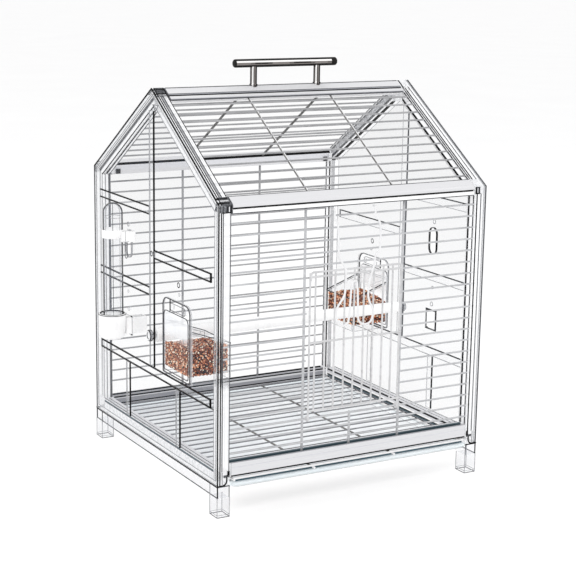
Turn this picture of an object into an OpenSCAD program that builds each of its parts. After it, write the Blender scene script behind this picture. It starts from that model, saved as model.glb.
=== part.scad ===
// Clear house-shaped bird travel carrier.
// X = width (gable to gable), Y = depth (front is -Y), Z up.
// Origin: middle of the footprint, on the floor.

/* [Cage body] */
// Width over the two gable panels
W = 390; // [300:1:500]
// Depth, front to back
D = 380; // [300:1:480]
// Height of the eaves
He = 390; // [300:1:460]
// Height of the ridge
Hr = 512; // [420:1:600]
// Underside of the gable panels
Zb = 41; // [30:1:60]

/* [Gable panels] */
// Thickness of the panel rim and of the raised battens
panel_t = 4.5; // [3:0.1:8]
// Thickness of the thin field between the battens
field_t = 2.7; // [2:0.1:4]
// Width of the raised rim
rim_w = 6; // [4:0.5:12]
// Width of the horizontal battens
bat_w = 11.6; // [8:0.1:16]
// Width of the middle batten
mid_w = 14; // [10:0.5:20]
// Centre height of the lowest batten
z_low = 141.8; // [120:0.1:160]
// Centre height of the rear middle batten
z_rear = 247.9; // [230:0.1:270]
// Centre height of the front middle batten
z_front = 298.9; // [280:0.1:320]
// Centre height of the rear upper batten
z_top = 354.6; // [340:0.1:370]
// Distance of the low upright battens from the middle
low_y = 78; // [60:1:100]

/* [Gable frames] */
// Depth of the frame profile across the panel
prof_x = 12.5; // [10:0.5:16]
// Depth of the frame profile in the gable plane
prof_in = 19; // [14:0.5:24]
// Height of the bottom profile
sill_h = 18; // [12:1:24]
// Height of the underside of the front sill above the others
sill_lift = 10; // [8:1:14]

/* [Base] */
// Height of the feet
foot_h = 26; // [15:1:40]
// Length of a foot along the side
foot_l = 20; // [12:1:30]
// Width of the base rails
rail_w = 17; // [12:1:24]

/* [Wires] */
// Diameter of the long bars of the grilles
wire_d = 2.4; // [1.8:0.1:3]
// Diameter of the cross wires of the grilles
cross_d = 3.2; // [2:0.1:4]
// Pitch of the bars in the walls
wall_pitch = 15.1; // [12:0.1:18]
// Height of the highest bar in the walls
wall_top = 366.1; // [350:0.1:375]
// Number of bars in a wall
wall_n = 20; // [10:1:24]
// Distance of the front uprights from the middle
door_x = 72; // [50:1:90]
// Pitch of the roof bars, measured along Y
roof_pitch = 14.1; // [12:0.1:18]
// First roof bar from the ridge, front slope
roof_f0 = 23.4; // [20:0.1:34]
// First roof bar from the ridge, back slope
roof_b0 = 30.2; // [20:0.1:34]
// Pitch of the floor bars
floor_pitch = 17.7; // [12:0.1:20]

/* [Door] */
// Half width of the door between its side wires
door_hw = 66.8; // [50:0.1:70]
// Height of the bottom rail
door_z0 = 120.6; // [115:0.1:125]
// Height of the middle rail
door_z1 = 208.8; // [190:0.1:220]
// Height of the lower top rail
door_z2 = 292.3; // [285:0.1:295]
// Height of the upper top rail
door_z3 = 298; // [295:0.1:302]
// Pitch of the door uprights
door_pitch = 14.2; // [12:0.1:16]

/* [Feeders] */
// Width of the feeder plate
plate_w = 80; // [70:1:90]
// Distance of the feeder from the middle
feed_y = 72.3; // [60:0.1:80]
// Underside of the feeder plate
feed_z0 = 149.7; // [140:0.1:160]
// Top of the feeder plate
feed_z1 = 250.3; // [240:0.1:260]
// How far the cup reaches into the cage
feed_in = 57; // [40:1:70]

/* [Drinker] */
// Distance of the drinker from the middle
drink_y = 78; // [60:1:90]
// Outside radius of the tube
tube_r = 13.5; // [10:0.1:16]
// Middle of the tube, outwards from the middle of the cage
tube_x = 215.6; // [210:0.1:225]
// Top of the tube
tube_z1 = 355.8; // [320:0.1:380]
// Bottom of the tube
tube_z0 = 186.3; // [180:0.1:200]

/* [Perch and handle] */
// Height of the perch
perch_z = 190; // [160:1:220]
// Diameter of the perch at the left gable
perch_d1 = 19; // [14:0.5:22]
// Diameter of the perch at the right gable
perch_d2 = 14.6; // [10:0.1:20]
// Distance between the handle posts
post_gap = 96; // [80:1:128]
// Length of the handle bar
bar_l = 155; // [120:1:180]
// Diameter of the handle bar
bar_d = 11; // [8:0.5:14]
// Height of the middle of the handle bar
bar_z = 540.2; // [530:0.1:560]

/* [Hidden] */
k = (Hr - He) / (D / 2);
A = atan(k);
XP = W / 2 - panel_t;
XI = XP - prof_x;
XB = XI - 2;
YF = D / 2;
wire_y = 185;
cross_y = wire_y - wire_d / 2 - cross_d / 2 + 0.4;
chan_a = 187.2;
chan_b = 179.8;
join_y = 178;
join_z = 380;
ridge_y = 12;
hinge_z = wall_top - 17 * wall_pitch;
hinge_r = 2.8;
door_y = wire_y + hinge_r;
rail_y = door_y + 2;
latch_y = rail_y + 2.9;
tray_z = foot_h + 12.5;

function zo(y) = Hr - k * abs(y);
// point on the roof: s along the slope from the ridge, d below the surface
function P(s, d) = [s * cos(A) - d * sin(A), Hr - s * sin(A) - d * cos(A)];
function flip(p) = [-p[0], p[1]];
function gable(t) = [[-(YF - t), Zb + t], [YF - t, Zb + t],
  [YF - t, Hr - t / cos(A) - k * (YF - t)], [0, Hr - t / cos(A)],
  [-(YF - t), Hr - t / cos(A) - k * (YF - t)]];

// extrusions of a YZ outline along X, and of an XZ outline along Y
module yz(x0, x1) translate([x0, 0, 0]) rotate([90, 0, 90]) linear_extrude(x1 - x0) children();
module xz(y0, y1) translate([0, y1, 0]) rotate([90, 0, 0]) linear_extrude(y1 - y0) children();
module bx(x0, x1, y0, y1, z0, z1) translate([x0, y0, z0]) cube([x1 - x0, y1 - y0, z1 - z0]);
module wx(x0, x1, y, z, d) translate([x0, y, z]) rotate([0, 90, 0]) cylinder(h = x1 - x0, d = d, $fn = 20);
module wy(x, y0, y1, z, d) translate([x, y0, z]) rotate([-90, 0, 0]) cylinder(h = y1 - y0, d = d, $fn = 20);
module wz(x, y, z0, z1, d) translate([x, y, z0]) cylinder(h = z1 - z0, d = d, $fn = 20);
// wire in the direction of the rafters, on the front (side = -1) or back slope
module ws(x, s0, s1, dep, side, d)
  translate([x, side * P(s0, dep)[0], P(s0, dep)[1]])
    rotate([side < 0 ? 90 + A : -90 - A, 0, 0])
      cylinder(h = s1 - s0, d = d, $fn = 20);
module rbox(y0, y1, z0, z1) translate([y0, z0]) square([y1 - y0, z1 - z0]);
// rectangle with its two upper corners rounded
module tombstone(y0, y1, z0, z1, r) {
  translate([y0, z0]) square([y1 - y0, z1 - z0 - r]);
  translate([y0 + r, z0]) square([y1 - y0 - 2 * r, z1 - z0]);
  translate([y0 + r, z1 - r]) circle(r = r, $fn = 32);
  translate([y1 - r, z1 - r]) circle(r = r, $fn = 32);
}

// ---- gable panel, drawn for the left gable (outside is -X)
module panel_holes() {
  // feeder opening
  tombstone(-feed_y - plate_w / 2 - 0.5, -feed_y + plate_w / 2 + 0.5, feed_z0 - 0.5, feed_z1 + 0.5, 12.5);
  // drinker slots and their key holes
  hull() { translate([drink_y + 0.5, 288.5]) circle(d = 16.6, $fn = 32); translate([drink_y + 0.5, 308.5]) circle(d = 16.6, $fn = 32); }
  translate([drink_y, 325]) circle(d = 5, $fn = 24);
  rbox(drink_y - 10, drink_y + 10, 175, 200);
  translate([drink_y, 209.5]) circle(d = 5, $fn = 24);
  translate([drink_y + 1, 245.2 - 12]) circle(d = 3.2, $fn = 24);
  // holes in the middle batten, above the feeder and for the perch
  translate([0, z_front]) circle(d = 5, $fn = 24);
  translate([-drink_y + 1, 272]) circle(d = 5, $fn = 24);
  translate([-drink_y - 1, 260]) circle(d = 3.2, $fn = 24);
  translate([0, perch_z]) circle(d = 8.6, $fn = 24);
}
module battens() {
  y0 = YF - prof_in - 1;
  g = mid_w / 2 + 0.8;
  rbox(-mid_w / 2, mid_w / 2, z_low + bat_w / 2 + 0.8, Hr - prof_in / cos(A) - 6);
  rbox(g, y0, z_top - bat_w / 2, z_top + bat_w / 2);
  rbox(g, y0, z_rear - bat_w / 2, z_rear + bat_w / 2);
  rbox(-y0, -g, z_front - bat_w / 2, z_front + bat_w / 2);
  rbox(-y0, y0, z_low - bat_w / 2, z_low + bat_w / 2);
  for (s = [-1, 1]) rbox(s * low_y - 6, s * low_y + 6, Zb + sill_h + 1, z_low - bat_w / 2 - 0.8);
}
module panel() {
  yz(-XP - field_t, -XP) difference() { polygon(gable(0)); panel_holes(); }
  yz(-W / 2, -XP - field_t) difference() { polygon(gable(0)); polygon(gable(rim_w)); }
  yz(-W / 2, -XP - field_t) difference() { battens(); panel_holes(); }
}
module left_panel() color([0.85, 0.9, 0.95, 0.45]) panel();
module right_panel() color([0.85, 0.9, 0.95, 0.45]) rotate([0, 0, 180]) panel();

// ---- frame profiles, drawn for the front left corner
module post() difference() {
  bx(-XP, -XI, -YF, -YF + prof_in, Zb + sill_h, join_z);
  // two grooves in the outer face, one for the grille in the inner face
  bx(-XP + 2.9, -XP + 4.1, -YF - 1, -YF + 1.6, Zb + sill_h - 1, join_z + 1);
  bx(-XP + 7.2, -XP + 8, -YF - 1, -YF + 0.8, Zb + sill_h - 1, join_z + 1);
  bx(-XI - 2, -XI + 1, -chan_a, -chan_b, Zb + sill_h - 1, join_z + 1);
}
function rafter_line(d) = [-P(0, d)[0], P(0, d)[1]];
module rafter_shape(d0, d1) {
  za = zo(ridge_y) - d0 / cos(A);
  zb_ = zo(ridge_y) - d1 / cos(A);
  yj = min(join_y, (Hr - d1 / cos(A) - join_z) / k);
  polygon([[-join_y, zo(join_y) - d0 / cos(A)], [-ridge_y, za], [-ridge_y, zb_],
    [-yj, max(join_z, zo(yj) - d1 / cos(A))], [-join_y, max(join_z, zo(join_y) - d1 / cos(A))]]);
}
module rafter() {
  yz(-XP, -XP + 2.9) rafter_shape(0, prof_in);
  yz(-XP + 2.9, -XP + 4.1) rafter_shape(1.6, prof_in);
  yz(-XP + 4.1, -XP + 7.2) rafter_shape(0, prof_in);
  yz(-XP + 7.2, -XP + 8) rafter_shape(0.8, prof_in);
  yz(-XP + 8, -XI - 2) rafter_shape(0, prof_in);
  yz(-XI - 2, -XI) { rafter_shape(0, YF - chan_a); rafter_shape(YF - chan_b, prof_in); }
}
module left_front_post() color([0.9, 0.92, 0.94, 0.7]) post();
module left_back_post() color([0.9, 0.92, 0.94, 0.7]) mirror([0, 1, 0]) post();
module right_front_post() color([0.9, 0.92, 0.94, 0.7]) mirror([1, 0, 0]) post();
module right_back_post() color([0.9, 0.92, 0.94, 0.7]) mirror([1, 0, 0]) mirror([0, 1, 0]) post();
module left_front_rafter() color([0.9, 0.92, 0.94, 0.7]) rafter();
module left_back_rafter() color([0.9, 0.92, 0.94, 0.7]) mirror([0, 1, 0]) rafter();
module right_front_rafter() color([0.9, 0.92, 0.94, 0.7]) mirror([1, 0, 0]) rafter();
module right_back_rafter() color([0.9, 0.92, 0.94, 0.7]) mirror([1, 0, 0]) mirror([0, 1, 0]) rafter();

module sill() difference() {
  bx(-XP, -XI, -YF + prof_in, YF - prof_in, Zb, Zb + sill_h);
  bx(-XI - 1.6, -XI + 1, -YF, YF, Zb + 12.2, Zb + 14.6);
  bx(-XI - 1.6, -XI + 1, -YF, YF, Zb + 7, Zb + 9.4);
}
module left_sill() color([0.75, 0.77, 0.8]) sill();
module right_sill() color([0.75, 0.77, 0.8]) mirror([1, 0, 0]) sill();

// ---- outlines of the aluminium bars in the YZ plane (front, -Y side)
module ridge_outline(c = 0) polygon([P(0, c / cos(A)), P(15.4, c), P(15.4, 3), P(16.4, 3), P(16.4, 0.8 + c),
  P(23.5, 0.8 + c), P(23.5, 3.2), P(17.4, 3.2), P(17.4, 9), [0, Hr - 20],
  flip(P(17.4, 9)), flip(P(17.4, 3.2)), flip(P(23.5, 3.2)), flip(P(23.5, 0.8 + c)),
  flip(P(16.4, 0.8 + c)), flip(P(16.4, 3)), flip(P(15.4, 3)), flip(P(15.4, c))]);
s_top = 177.2 / cos(A);
module eave_outline() polygon([flip(P(s_top, 0)), [-187.4, zo(187.4)], [-189.2, zo(187.4) - 1.5], [-YF, He - 2.6],
  [-YF, 385], [-chan_a, 385], [-chan_a, 383.8], [-189.4, 383.8], [-189.4, 378.2], [-chan_a, 378.2], [-chan_a, 382.6],
  [-chan_b, 382.6], [-chan_b, 378.2], [flip(P(s_top, 9))[0], 378.2], flip(P(s_top, 9))]);
module sill_outline(z) difference() {
  rbox(-YF, -YF + prof_in - 0.5, z, z + sill_h);
  rbox(-chan_a, -chan_b, z + sill_h - 4, z + sill_h + 1);
  rbox(-YF - 1, -YF + 1, z - 1, z + 1.2);
  rbox(-YF - 1, -YF + 0.5, z + sill_h * 0.62, z + sill_h * 0.62 + 0.8);
}
module ridge_bar() color([0.8, 0.81, 0.83]) difference() {
  yz(-XB, XB) ridge_outline();
  for (s = [-1, 1]) translate([s * post_gap / 2, 0, Hr - 8]) cylinder(h = 20, d = 9.4, $fn = 32);
}
module front_eave_bar() color([0.8, 0.81, 0.83]) yz(-XB, XB) eave_outline();
module back_eave_bar() color([0.8, 0.81, 0.83]) mirror([0, 1, 0]) yz(-XB, XB) eave_outline();
module front_sill_bar() color([0.8, 0.81, 0.83]) yz(-XB, XB) sill_outline(Zb + sill_lift);
module back_sill_bar() color([0.8, 0.81, 0.83]) mirror([0, 1, 0]) yz(-XB, XB) sill_outline(Zb);

// ---- black corner connectors
module eave_block() {
  yz(-XP, -XI) polygon([[-YF, join_z], [-YF, He], [-join_y, zo(join_y)], [-join_y, join_z]]);
  yz(-XI, -XB) intersection() { eave_outline(); rbox(-YF + 0.6, 0, 378.2, 420); }
}
module eave_connectors() color([0.08, 0.08, 0.09]) for (a = [0, 1], b = [0, 1])
  mirror([a, 0, 0]) mirror([0, b, 0]) eave_block();
module ridge_connectors() color([0.08, 0.08, 0.09]) for (a = [0, 1]) mirror([a, 0, 0]) {
  yz(-XP, -XI) polygon([[-ridge_y, zo(ridge_y)], [0, Hr], [ridge_y, zo(ridge_y)],
    [ridge_y, zo(ridge_y) - prof_in / cos(A)], [0, Hr - prof_in / cos(A)], [-ridge_y, zo(ridge_y) - prof_in / cos(A)]]);
  yz(-XI, -XB) ridge_outline(0.5);
}
module sill_connectors() color([0.08, 0.08, 0.09]) for (a = [0, 1]) mirror([a, 0, 0]) {
  bx(-XP, -XI, -YF, -YF + prof_in, Zb, Zb + sill_h);
  bx(-XI, -XB, -YF + 0.6, -YF + prof_in - 1, Zb + sill_lift + 0.6, Zb + sill_h + sill_lift - 0.6);
  bx(-XP, -XI, YF - prof_in, YF, Zb, Zb + sill_h);
  bx(-XI, -XB, YF - prof_in + 1, YF - 0.6, Zb + 0.6, Zb + sill_h - 0.6);
}
// square plugs in the inner faces of the eave bars
module bar_plugs() color([0.06, 0.06, 0.06]) for (a = [-1, 1], b = [-1, 1])
  translate([a * 167 - 3.2, b * (YF - 18.7) - (b > 0 ? 1.2 : 0), 379.2]) cube([6.4, 1.2, 6.4]);

// ---- clear base
module base_rail() {
  difference() {
    bx(-W / 2, -W / 2 + rail_w, -YF, YF, foot_h, Zb);
    bx(-W / 2 - 1, -W / 2 + 1, -YF + 12, YF - 12, foot_h + 5, foot_h + 7);
  }
  // ledge that carries the tray
  bx(-W / 2 + rail_w, -W / 2 + rail_w + 7.5, -YF + 22, YF - 22, tray_z - 3.2, tray_z - 0.3);
}
module left_base_rail() color([0.85, 0.9, 0.95, 0.5]) base_rail();
module right_base_rail() color([0.85, 0.9, 0.95, 0.5]) mirror([1, 0, 0]) base_rail();
module feet() color([0.85, 0.9, 0.95, 0.5]) for (a = [0, 1], b = [0, 1]) mirror([a, 0, 0]) mirror([0, b, 0])
  bx(-W / 2, -W / 2 + rail_w, -YF, -YF + foot_l, 0, foot_h);

// ---- welded grilles
module front_grille() color([0.85, 0.86, 0.87]) {
  for (i = [0 : wall_n - 1]) {
    z = wall_top - i * wall_pitch;
    if (i > 4 && i < 17) {
      wx(-XI - 2, -door_x + 1.2, -wire_y, z, wire_d);
      wx(door_x - 1.2, XI + 2, -wire_y, z, wire_d);
    } else wx(-XI - 2, XI + 2, -wire_y, z, wire_d);
  }
  for (s = [-1, 1]) wz(s * door_x, -cross_y, Zb + sill_lift + sill_h - 4, 382.6, cross_d);
  wz(-2.5, -cross_y, Zb + sill_lift + sill_h - 4, hinge_z + 1, cross_d);
}
module back_grille() color([0.85, 0.86, 0.87]) {
  for (i = [0 : wall_n - 1]) wx(-XI - 2, XI + 2, wire_y, wall_top - i * wall_pitch, wire_d);
  for (s = [-1, 1]) wz(s * 62.5, cross_y, Zb + sill_h - 4, 382.6, cross_d);
}
module roof_grille(side, y0, n) {
  dep = YF - wire_y;
  for (i = [0 : n - 1]) {
    y = y0 + i * roof_pitch;
    wx(-XI - 2, XI + 2, side * y, Hr - k * y - dep / cos(A), wire_d);
  }
  for (s = [-1, 1]) ws(s * 62, 17.4, s_top, dep + wire_d / 2 + cross_d / 2 - 1.2, side, cross_d - 0.6);
}
module front_roof_grille() color([0.85, 0.86, 0.87]) roof_grille(-1, roof_f0, 11);
module back_roof_grille() color([0.85, 0.86, 0.87]) roof_grille(1, roof_b0, 10);

// ---- slide-out floor: grate and tray
module floor_grate() color([0.8, 0.81, 0.82]) {
  for (i = [0 : 19]) wx(-173.2, 173.2, -173 + i * floor_pitch, 48.9, 2.2);
  wx(-173.2, 173.2, -191.6, 49, 2.6);
  for (x = [-172, -60, 60, 172]) wy(x, abs(x) < 100 ? -195 : -191.6, 165, 46.9, 2.6);
}
module tray() color([0.82, 0.9, 0.95, 0.6]) {
  difference() {
    bx(-176.3, 176.3, -189, 170.6, tray_z, tray_z + 6.8);
    bx(-174.5, 174.5, -187.4, 168.8, tray_z + 1.5, tray_z + 8);
  }
  // rounded front lip
  intersection() {
    yz(-177.2, 177.2) difference() {
      polygon([[-189, tray_z], [-193, tray_z], [-195.4, tray_z + 0.7], [-196.7, tray_z + 2.2], [-197, tray_z + 4],
        [-196, tray_z + 5.8], [-194, tray_z + 6.7], [-189, tray_z + 6.7]]);
      polygon([[-189, tray_z + 1.6], [-193, tray_z + 1.6], [-194.6, tray_z + 2.4], [-195.2, tray_z + 3.8],
        [-194.4, tray_z + 4.9], [-193, tray_z + 5.1], [-189, tray_z + 5.1]]);
    }
    translate([0, 0, tray_z - 1]) linear_extrude(10) {
      translate([-177.2, -187]) square([354.4, 8]);
      translate([-167.2, -197]) square([334.4, 12]);
      for (s = [-1, 1]) translate([s * 167.2, -187]) circle(r = 10, $fn = 48);
    }
  }
}

// ---- front door, hinged on the bar below it
module ring(x) translate([x, -wire_y, hinge_z]) rotate([0, 90, 0]) rotate_extrude($fn = 32) translate([hinge_r, 0]) circle(d = 2.2, $fn = 20);
module door() color([0.9, 0.9, 0.91]) {
  for (s = [-1, 1]) {
    wz(s * door_hw, -door_y, hinge_z, door_z3, 2.6);
    ring(s * door_hw);
  }
  for (i = [-4 : 4]) wz(-2.2 + i * door_pitch, -door_y, door_z0, door_z3, wire_d);
  for (z = [door_z0, door_z1, door_z2, door_z3]) wx(-door_hw - 0.8, door_hw + 0.8, -rail_y, z, 2.6);
}
// spring clip, a bent wire in front of the top rail
lp = [[-36.4, 376.1], [-36.2, 363], [-31.6, 356], [-29.2, 316], [-24.6, 308], [-18.6, 297.5], [-18.8, 272],
  [-22, 262], [-30.3, 250], [-31.5, 238], [-28.5, 229.5], [-22.4, 226], [-15.5, 228.5], [-12.4, 236],
  [-10.9, 258.6], [-9.3, 279], [-5.4, 282.4], [-1.6, 279], [0.1, 257.6], [0.7, 237], [3.6, 229], [9.5, 225.8],
  [17.2, 226.4], [22, 232.5], [22.7, 244], [17.9, 253.2], [15.2, 263], [17, 281.6], [22.4, 299], [24.9, 313],
  [31.3, 322.5], [29.6, 354.4], [23.4, 362.4], [22.9, 376.1]];
wn = len(lp);
function nrm(a, b) = let(v = b - a) [-v[1], v[0]] / norm(v);
function side_pt(i, w) = let(n1 = nrm(lp[max(i - 1, 0)], lp[max(i, 1)]), n2 = nrm(lp[min(i, wn - 2)], lp[min(i + 1, wn - 1)]))
  lp[i] + w * (n1 + n2) / (1 + n1 * n2);
module latch() color([0.95, 0.95, 0.95]) {
  xz(-latch_y - 1.3, -latch_y + 1.3) polygon(concat([for (i = [0 : wn - 1]) side_pt(i, 1.3)],
    [for (i = [wn - 1 : -1 : 0]) side_pt(i, -1.3)]));
  // tips turned in under the eave lip
  for (x = [lp[0][0], lp[wn - 1][0]]) bx(x - 1.2, x + 1.2, -latch_y, -wire_y - 1.7, lp[0][1] - 2.5, lp[0][1] - 0.1);
}

// ---- feeder, drawn for the left gable
module feeder() {
  y0 = -feed_y - plate_w / 2; y1 = -feed_y + plate_w / 2;
  yz(-XP - 4.1, -XP - 1.1) tombstone(y0, y1, feed_z0, feed_z1, 12);
  // raised border of the plate
  yz(-XP - 4.9, -XP - 4.1) difference() {
    tombstone(y0 + 2, y1 - 2, feed_z0 + 2, feed_z1 - 2, 10);
    tombstone(y0 + 5, y1 - 5, feed_z0 + 5, feed_z1 - 5, 7);
  }
  difference() {
    xz(y0 + 2, y1 - 2) polygon([[-XP - 1.1, 150.2], [-XP - 1.1 + feed_in - 3, 150.2], [-XP - 1.1 + feed_in, 154],
      [-XP - 1.1 + feed_in, 198], [-XP - 1.1, 218.5]]);
    xz(y0 + 4, y1 - 4) polygon([[-XP + 1, 152.4], [-XP - 3.4 + feed_in - 2, 152.4], [-XP - 3.2 + feed_in, 155.5],
      [-XP - 3.2 + feed_in, 240], [-XP + 1, 240]]);
  }
}
module left_feeder() color([0.88, 0.92, 0.95, 0.5]) feeder();
module right_feeder() color([0.88, 0.92, 0.95, 0.5]) rotate([0, 0, 180]) feeder();

// ---- drinker on the left gable, rear half
module drinker_tube() color([0.85, 0.9, 0.95, 0.4]) translate([-tube_x, drink_y, 0]) difference() {
  union() {
    translate([0, 0, tube_z0]) cylinder(h = tube_z1 - tube_r - tube_z0, r = tube_r, $fn = 48);
    translate([0, 0, tube_z1 - tube_r]) sphere(r = tube_r, $fn = 48);
  }
  translate([0, 0, tube_z0 - 1]) cylinder(h = tube_z1 - tube_r - tube_z0 + 1, r = tube_r - 1.6, $fn = 48);
  translate([0, 0, tube_z1 - tube_r]) sphere(r = tube_r - 1.6, $fn = 48);
}
module drinker_clip() color([0.96, 0.96, 0.96]) difference() {
  union() {
    translate([-tube_x, drink_y, 303.2]) cylinder(h = 16, r = tube_r + 2.4, $fn = 48);
    // arm through the tall slot, with its head inside
    bx(-tube_x + 12, -XP + 2.2, drink_y - 5, drink_y + 6, 303.2, 313.2);
    bx(-XP + 0.2, -XP + 2.2, drink_y - 11, drink_y + 12, 302.2, 318.2);
  }
  translate([-tube_x, drink_y, 300]) cylinder(h = 22, r = tube_r + 0.3, $fn = 48);
}
module drinker_cup() color([0.96, 0.96, 0.96]) {
  difference() {
    union() {
      translate([-tube_x - 1.8, drink_y, 175]) cylinder(h = 31, r1 = 17.4, r2 = 18.4, $fn = 48);
      translate([-tube_x - 1.8, drink_y, 171.6]) cylinder(h = 3.4, r1 = 14, r2 = 17.4, $fn = 48);
      bx(-tube_x + 8, -170, drink_y - 8, drink_y + 8, 176.5, 198.5);
    }
    translate([-tube_x - 1.8, drink_y, 173.6]) cylinder(h = 40, r = 15.9, $fn = 48);
    bx(-tube_x, -171.6, drink_y - 6.4, drink_y + 6.4, 178.2, 210);
    bx(-tube_x + 10, -171.6, drink_y - 9, drink_y + 9, 199, 210);
  }
  // shelf that the tube stands on
  translate([-tube_x - 1.8, drink_y, 184]) difference() {
    cylinder(h = 2, r = 16.1, $fn = 48);
    translate([1.8, 0, -1]) cylinder(h = 4, r = 12.2, $fn = 48);
    bx(4, 20, -6.4, 6.4, -1, 3);
  }
}

// ---- perch and its knobs
module perch() color([0.95, 0.95, 0.95]) {
  translate([-XP + 0.2, 0, perch_z]) rotate([0, 90, 0]) cylinder(h = 2 * XP - 0.4, d1 = perch_d1, d2 = perch_d2, $fn = 48);
  for (s = [-1, 1]) wx(s < 0 ? -W / 2 - 3.4 : XP - 1, s < 0 ? -XP + 1 : W / 2 + 3.4, 0, perch_z, 8);
}
module knob() difference() {
  union() {
    translate([-W / 2 - 4.6, 0, perch_z]) rotate([0, 90, 0]) cylinder(h = 4.3, d = 16.6, $fn = 40);
    translate([-W / 2 - 6.8, 0, perch_z]) rotate([0, 90, 0]) cylinder(h = 2.2, d1 = 12, d2 = 16.6, $fn = 40);
  }
  wx(-W / 2 - 3.8, -W / 2 + 1, 0, perch_z, 8.6);
}
module left_perch_knob() color([0.95, 0.95, 0.95]) knob();
module right_perch_knob() color([0.95, 0.95, 0.95]) mirror([1, 0, 0]) knob();

// ---- handle on the ridge
module handle_bar() color([0.7, 0.69, 0.67]) wx(-bar_l / 2, bar_l / 2, 0, bar_z, bar_d);
module handle_posts() color([0.7, 0.69, 0.67]) difference() {
  for (s = [-1, 1]) translate([s * post_gap / 2, 0, Hr - 8]) cylinder(h = bar_z - Hr + 8, d = 9, $fn = 32);
  wx(-bar_l / 2 - 5, bar_l / 2 + 5, 0, bar_z, bar_d + 0.2);
}

left_panel();
right_panel();
left_front_post();
left_back_post();
right_front_post();
right_back_post();
left_front_rafter();
left_back_rafter();
right_front_rafter();
right_back_rafter();
left_sill();
right_sill();
eave_connectors();
ridge_connectors();
sill_connectors();
ridge_bar();
front_eave_bar();
back_eave_bar();
front_sill_bar();
back_sill_bar();
bar_plugs();
left_base_rail();
right_base_rail();
feet();
front_grille();
back_grille();
front_roof_grille();
back_roof_grille();
floor_grate();
tray();
door();
latch();
left_feeder();
right_feeder();
drinker_tube();
drinker_clip();
drinker_cup();
perch();
left_perch_knob();
right_perch_knob();
handle_bar();
handle_posts();
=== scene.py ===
import bpy, bmesh, math, random
import numpy as np
from mathutils import Vector, Matrix


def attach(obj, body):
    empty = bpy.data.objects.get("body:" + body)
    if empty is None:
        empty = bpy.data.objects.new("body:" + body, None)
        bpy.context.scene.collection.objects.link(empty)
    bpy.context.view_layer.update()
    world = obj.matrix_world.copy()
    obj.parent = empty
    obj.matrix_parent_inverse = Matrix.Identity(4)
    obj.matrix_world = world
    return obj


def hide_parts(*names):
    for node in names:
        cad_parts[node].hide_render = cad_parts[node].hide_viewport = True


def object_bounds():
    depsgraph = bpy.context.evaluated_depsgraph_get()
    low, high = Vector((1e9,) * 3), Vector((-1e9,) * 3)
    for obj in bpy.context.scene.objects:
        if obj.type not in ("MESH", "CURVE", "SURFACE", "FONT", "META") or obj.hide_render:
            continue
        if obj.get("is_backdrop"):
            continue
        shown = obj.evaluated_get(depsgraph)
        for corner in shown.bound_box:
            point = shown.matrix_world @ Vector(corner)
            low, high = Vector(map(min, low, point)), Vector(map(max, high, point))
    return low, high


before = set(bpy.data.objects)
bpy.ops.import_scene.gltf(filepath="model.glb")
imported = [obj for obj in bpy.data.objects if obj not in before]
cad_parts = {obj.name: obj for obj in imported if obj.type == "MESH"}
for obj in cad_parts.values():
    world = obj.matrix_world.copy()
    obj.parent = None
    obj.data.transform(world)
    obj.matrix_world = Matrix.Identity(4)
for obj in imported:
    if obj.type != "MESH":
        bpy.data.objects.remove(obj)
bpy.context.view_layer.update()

MM = 0.001
random.seed(7)

# ------------------------------------------------------------------ sizes, mm
W2, D2, HE, HR, ZB = 195.0, 190.0, 390.0, 512.0, 41.0
K = (HR - HE) / D2
A = math.atan(K)
CA, SA = math.cos(A), math.sin(A)
XP, XI, XB = 190.5, 178.0, 176.0
WY = 185.0
PITCH, WTOP = 15.1, 366.1
HINGE_Z, HINGE_R = WTOP - 17 * PITCH, 2.8
DOOR_Y = WY + HINGE_R
TRAY_Z = 38.5


def zo(y):
    return HR - K * abs(y)


def P(s, d, side=-1):
    """Point at s along the roof slope and d below it, as (y, z)."""
    return (side * (s * CA - d * SA), HR - s * SA - d * CA)


# ------------------------------------------------------------------ materials
def new_mat(name):
    m = bpy.data.materials.new(name)
    m.use_nodes = True
    nt = m.node_tree
    nt.nodes.clear()
    out = nt.nodes.new("ShaderNodeOutputMaterial")
    b = nt.nodes.new("ShaderNodeBsdfPrincipled")
    nt.links.new(b.outputs[0], out.inputs[0])
    return m, nt, b


def mapping(nt, scale):
    tc = nt.nodes.new("ShaderNodeTexCoord")
    mp = nt.nodes.new("ShaderNodeMapping")
    mp.inputs["Scale"].default_value = scale
    nt.links.new(tc.outputs["Object"], mp.inputs["Vector"])
    return mp


def noise(nt, mp, scale, detail=4.0, rough=0.5):
    n = nt.nodes.new("ShaderNodeTexNoise")
    n.inputs["Scale"].default_value = scale
    n.inputs["Detail"].default_value = detail
    n.inputs["Roughness"].default_value = rough
    nt.links.new(mp.outputs[0], n.inputs["Vector"])
    return n


def ramp(nt, src, stops):
    r = nt.nodes.new("ShaderNodeValToRGB")
    el = r.color_ramp.elements
    while len(el) < len(stops):
        el.new(0.5)
    for e, (p, c) in zip(el, stops):
        e.position = p
        e.color = tuple(c) + ((1.0,) if len(c) == 3 else ())
    nt.links.new(src, r.inputs[0])
    return r


def rng(nt, src, a, b):
    m = nt.nodes.new("ShaderNodeMapRange")
    m.inputs["To Min"].default_value = a
    m.inputs["To Max"].default_value = b
    nt.links.new(src, m.inputs["Value"])
    return m


def bump(nt, b, src, strength, dist=0.0004):
    n = nt.nodes.new("ShaderNodeBump")
    n.inputs["Strength"].default_value = strength
    n.inputs["Distance"].default_value = dist
    nt.links.new(src, n.inputs["Height"])
    nt.links.new(n.outputs[0], b.inputs["Normal"])


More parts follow.
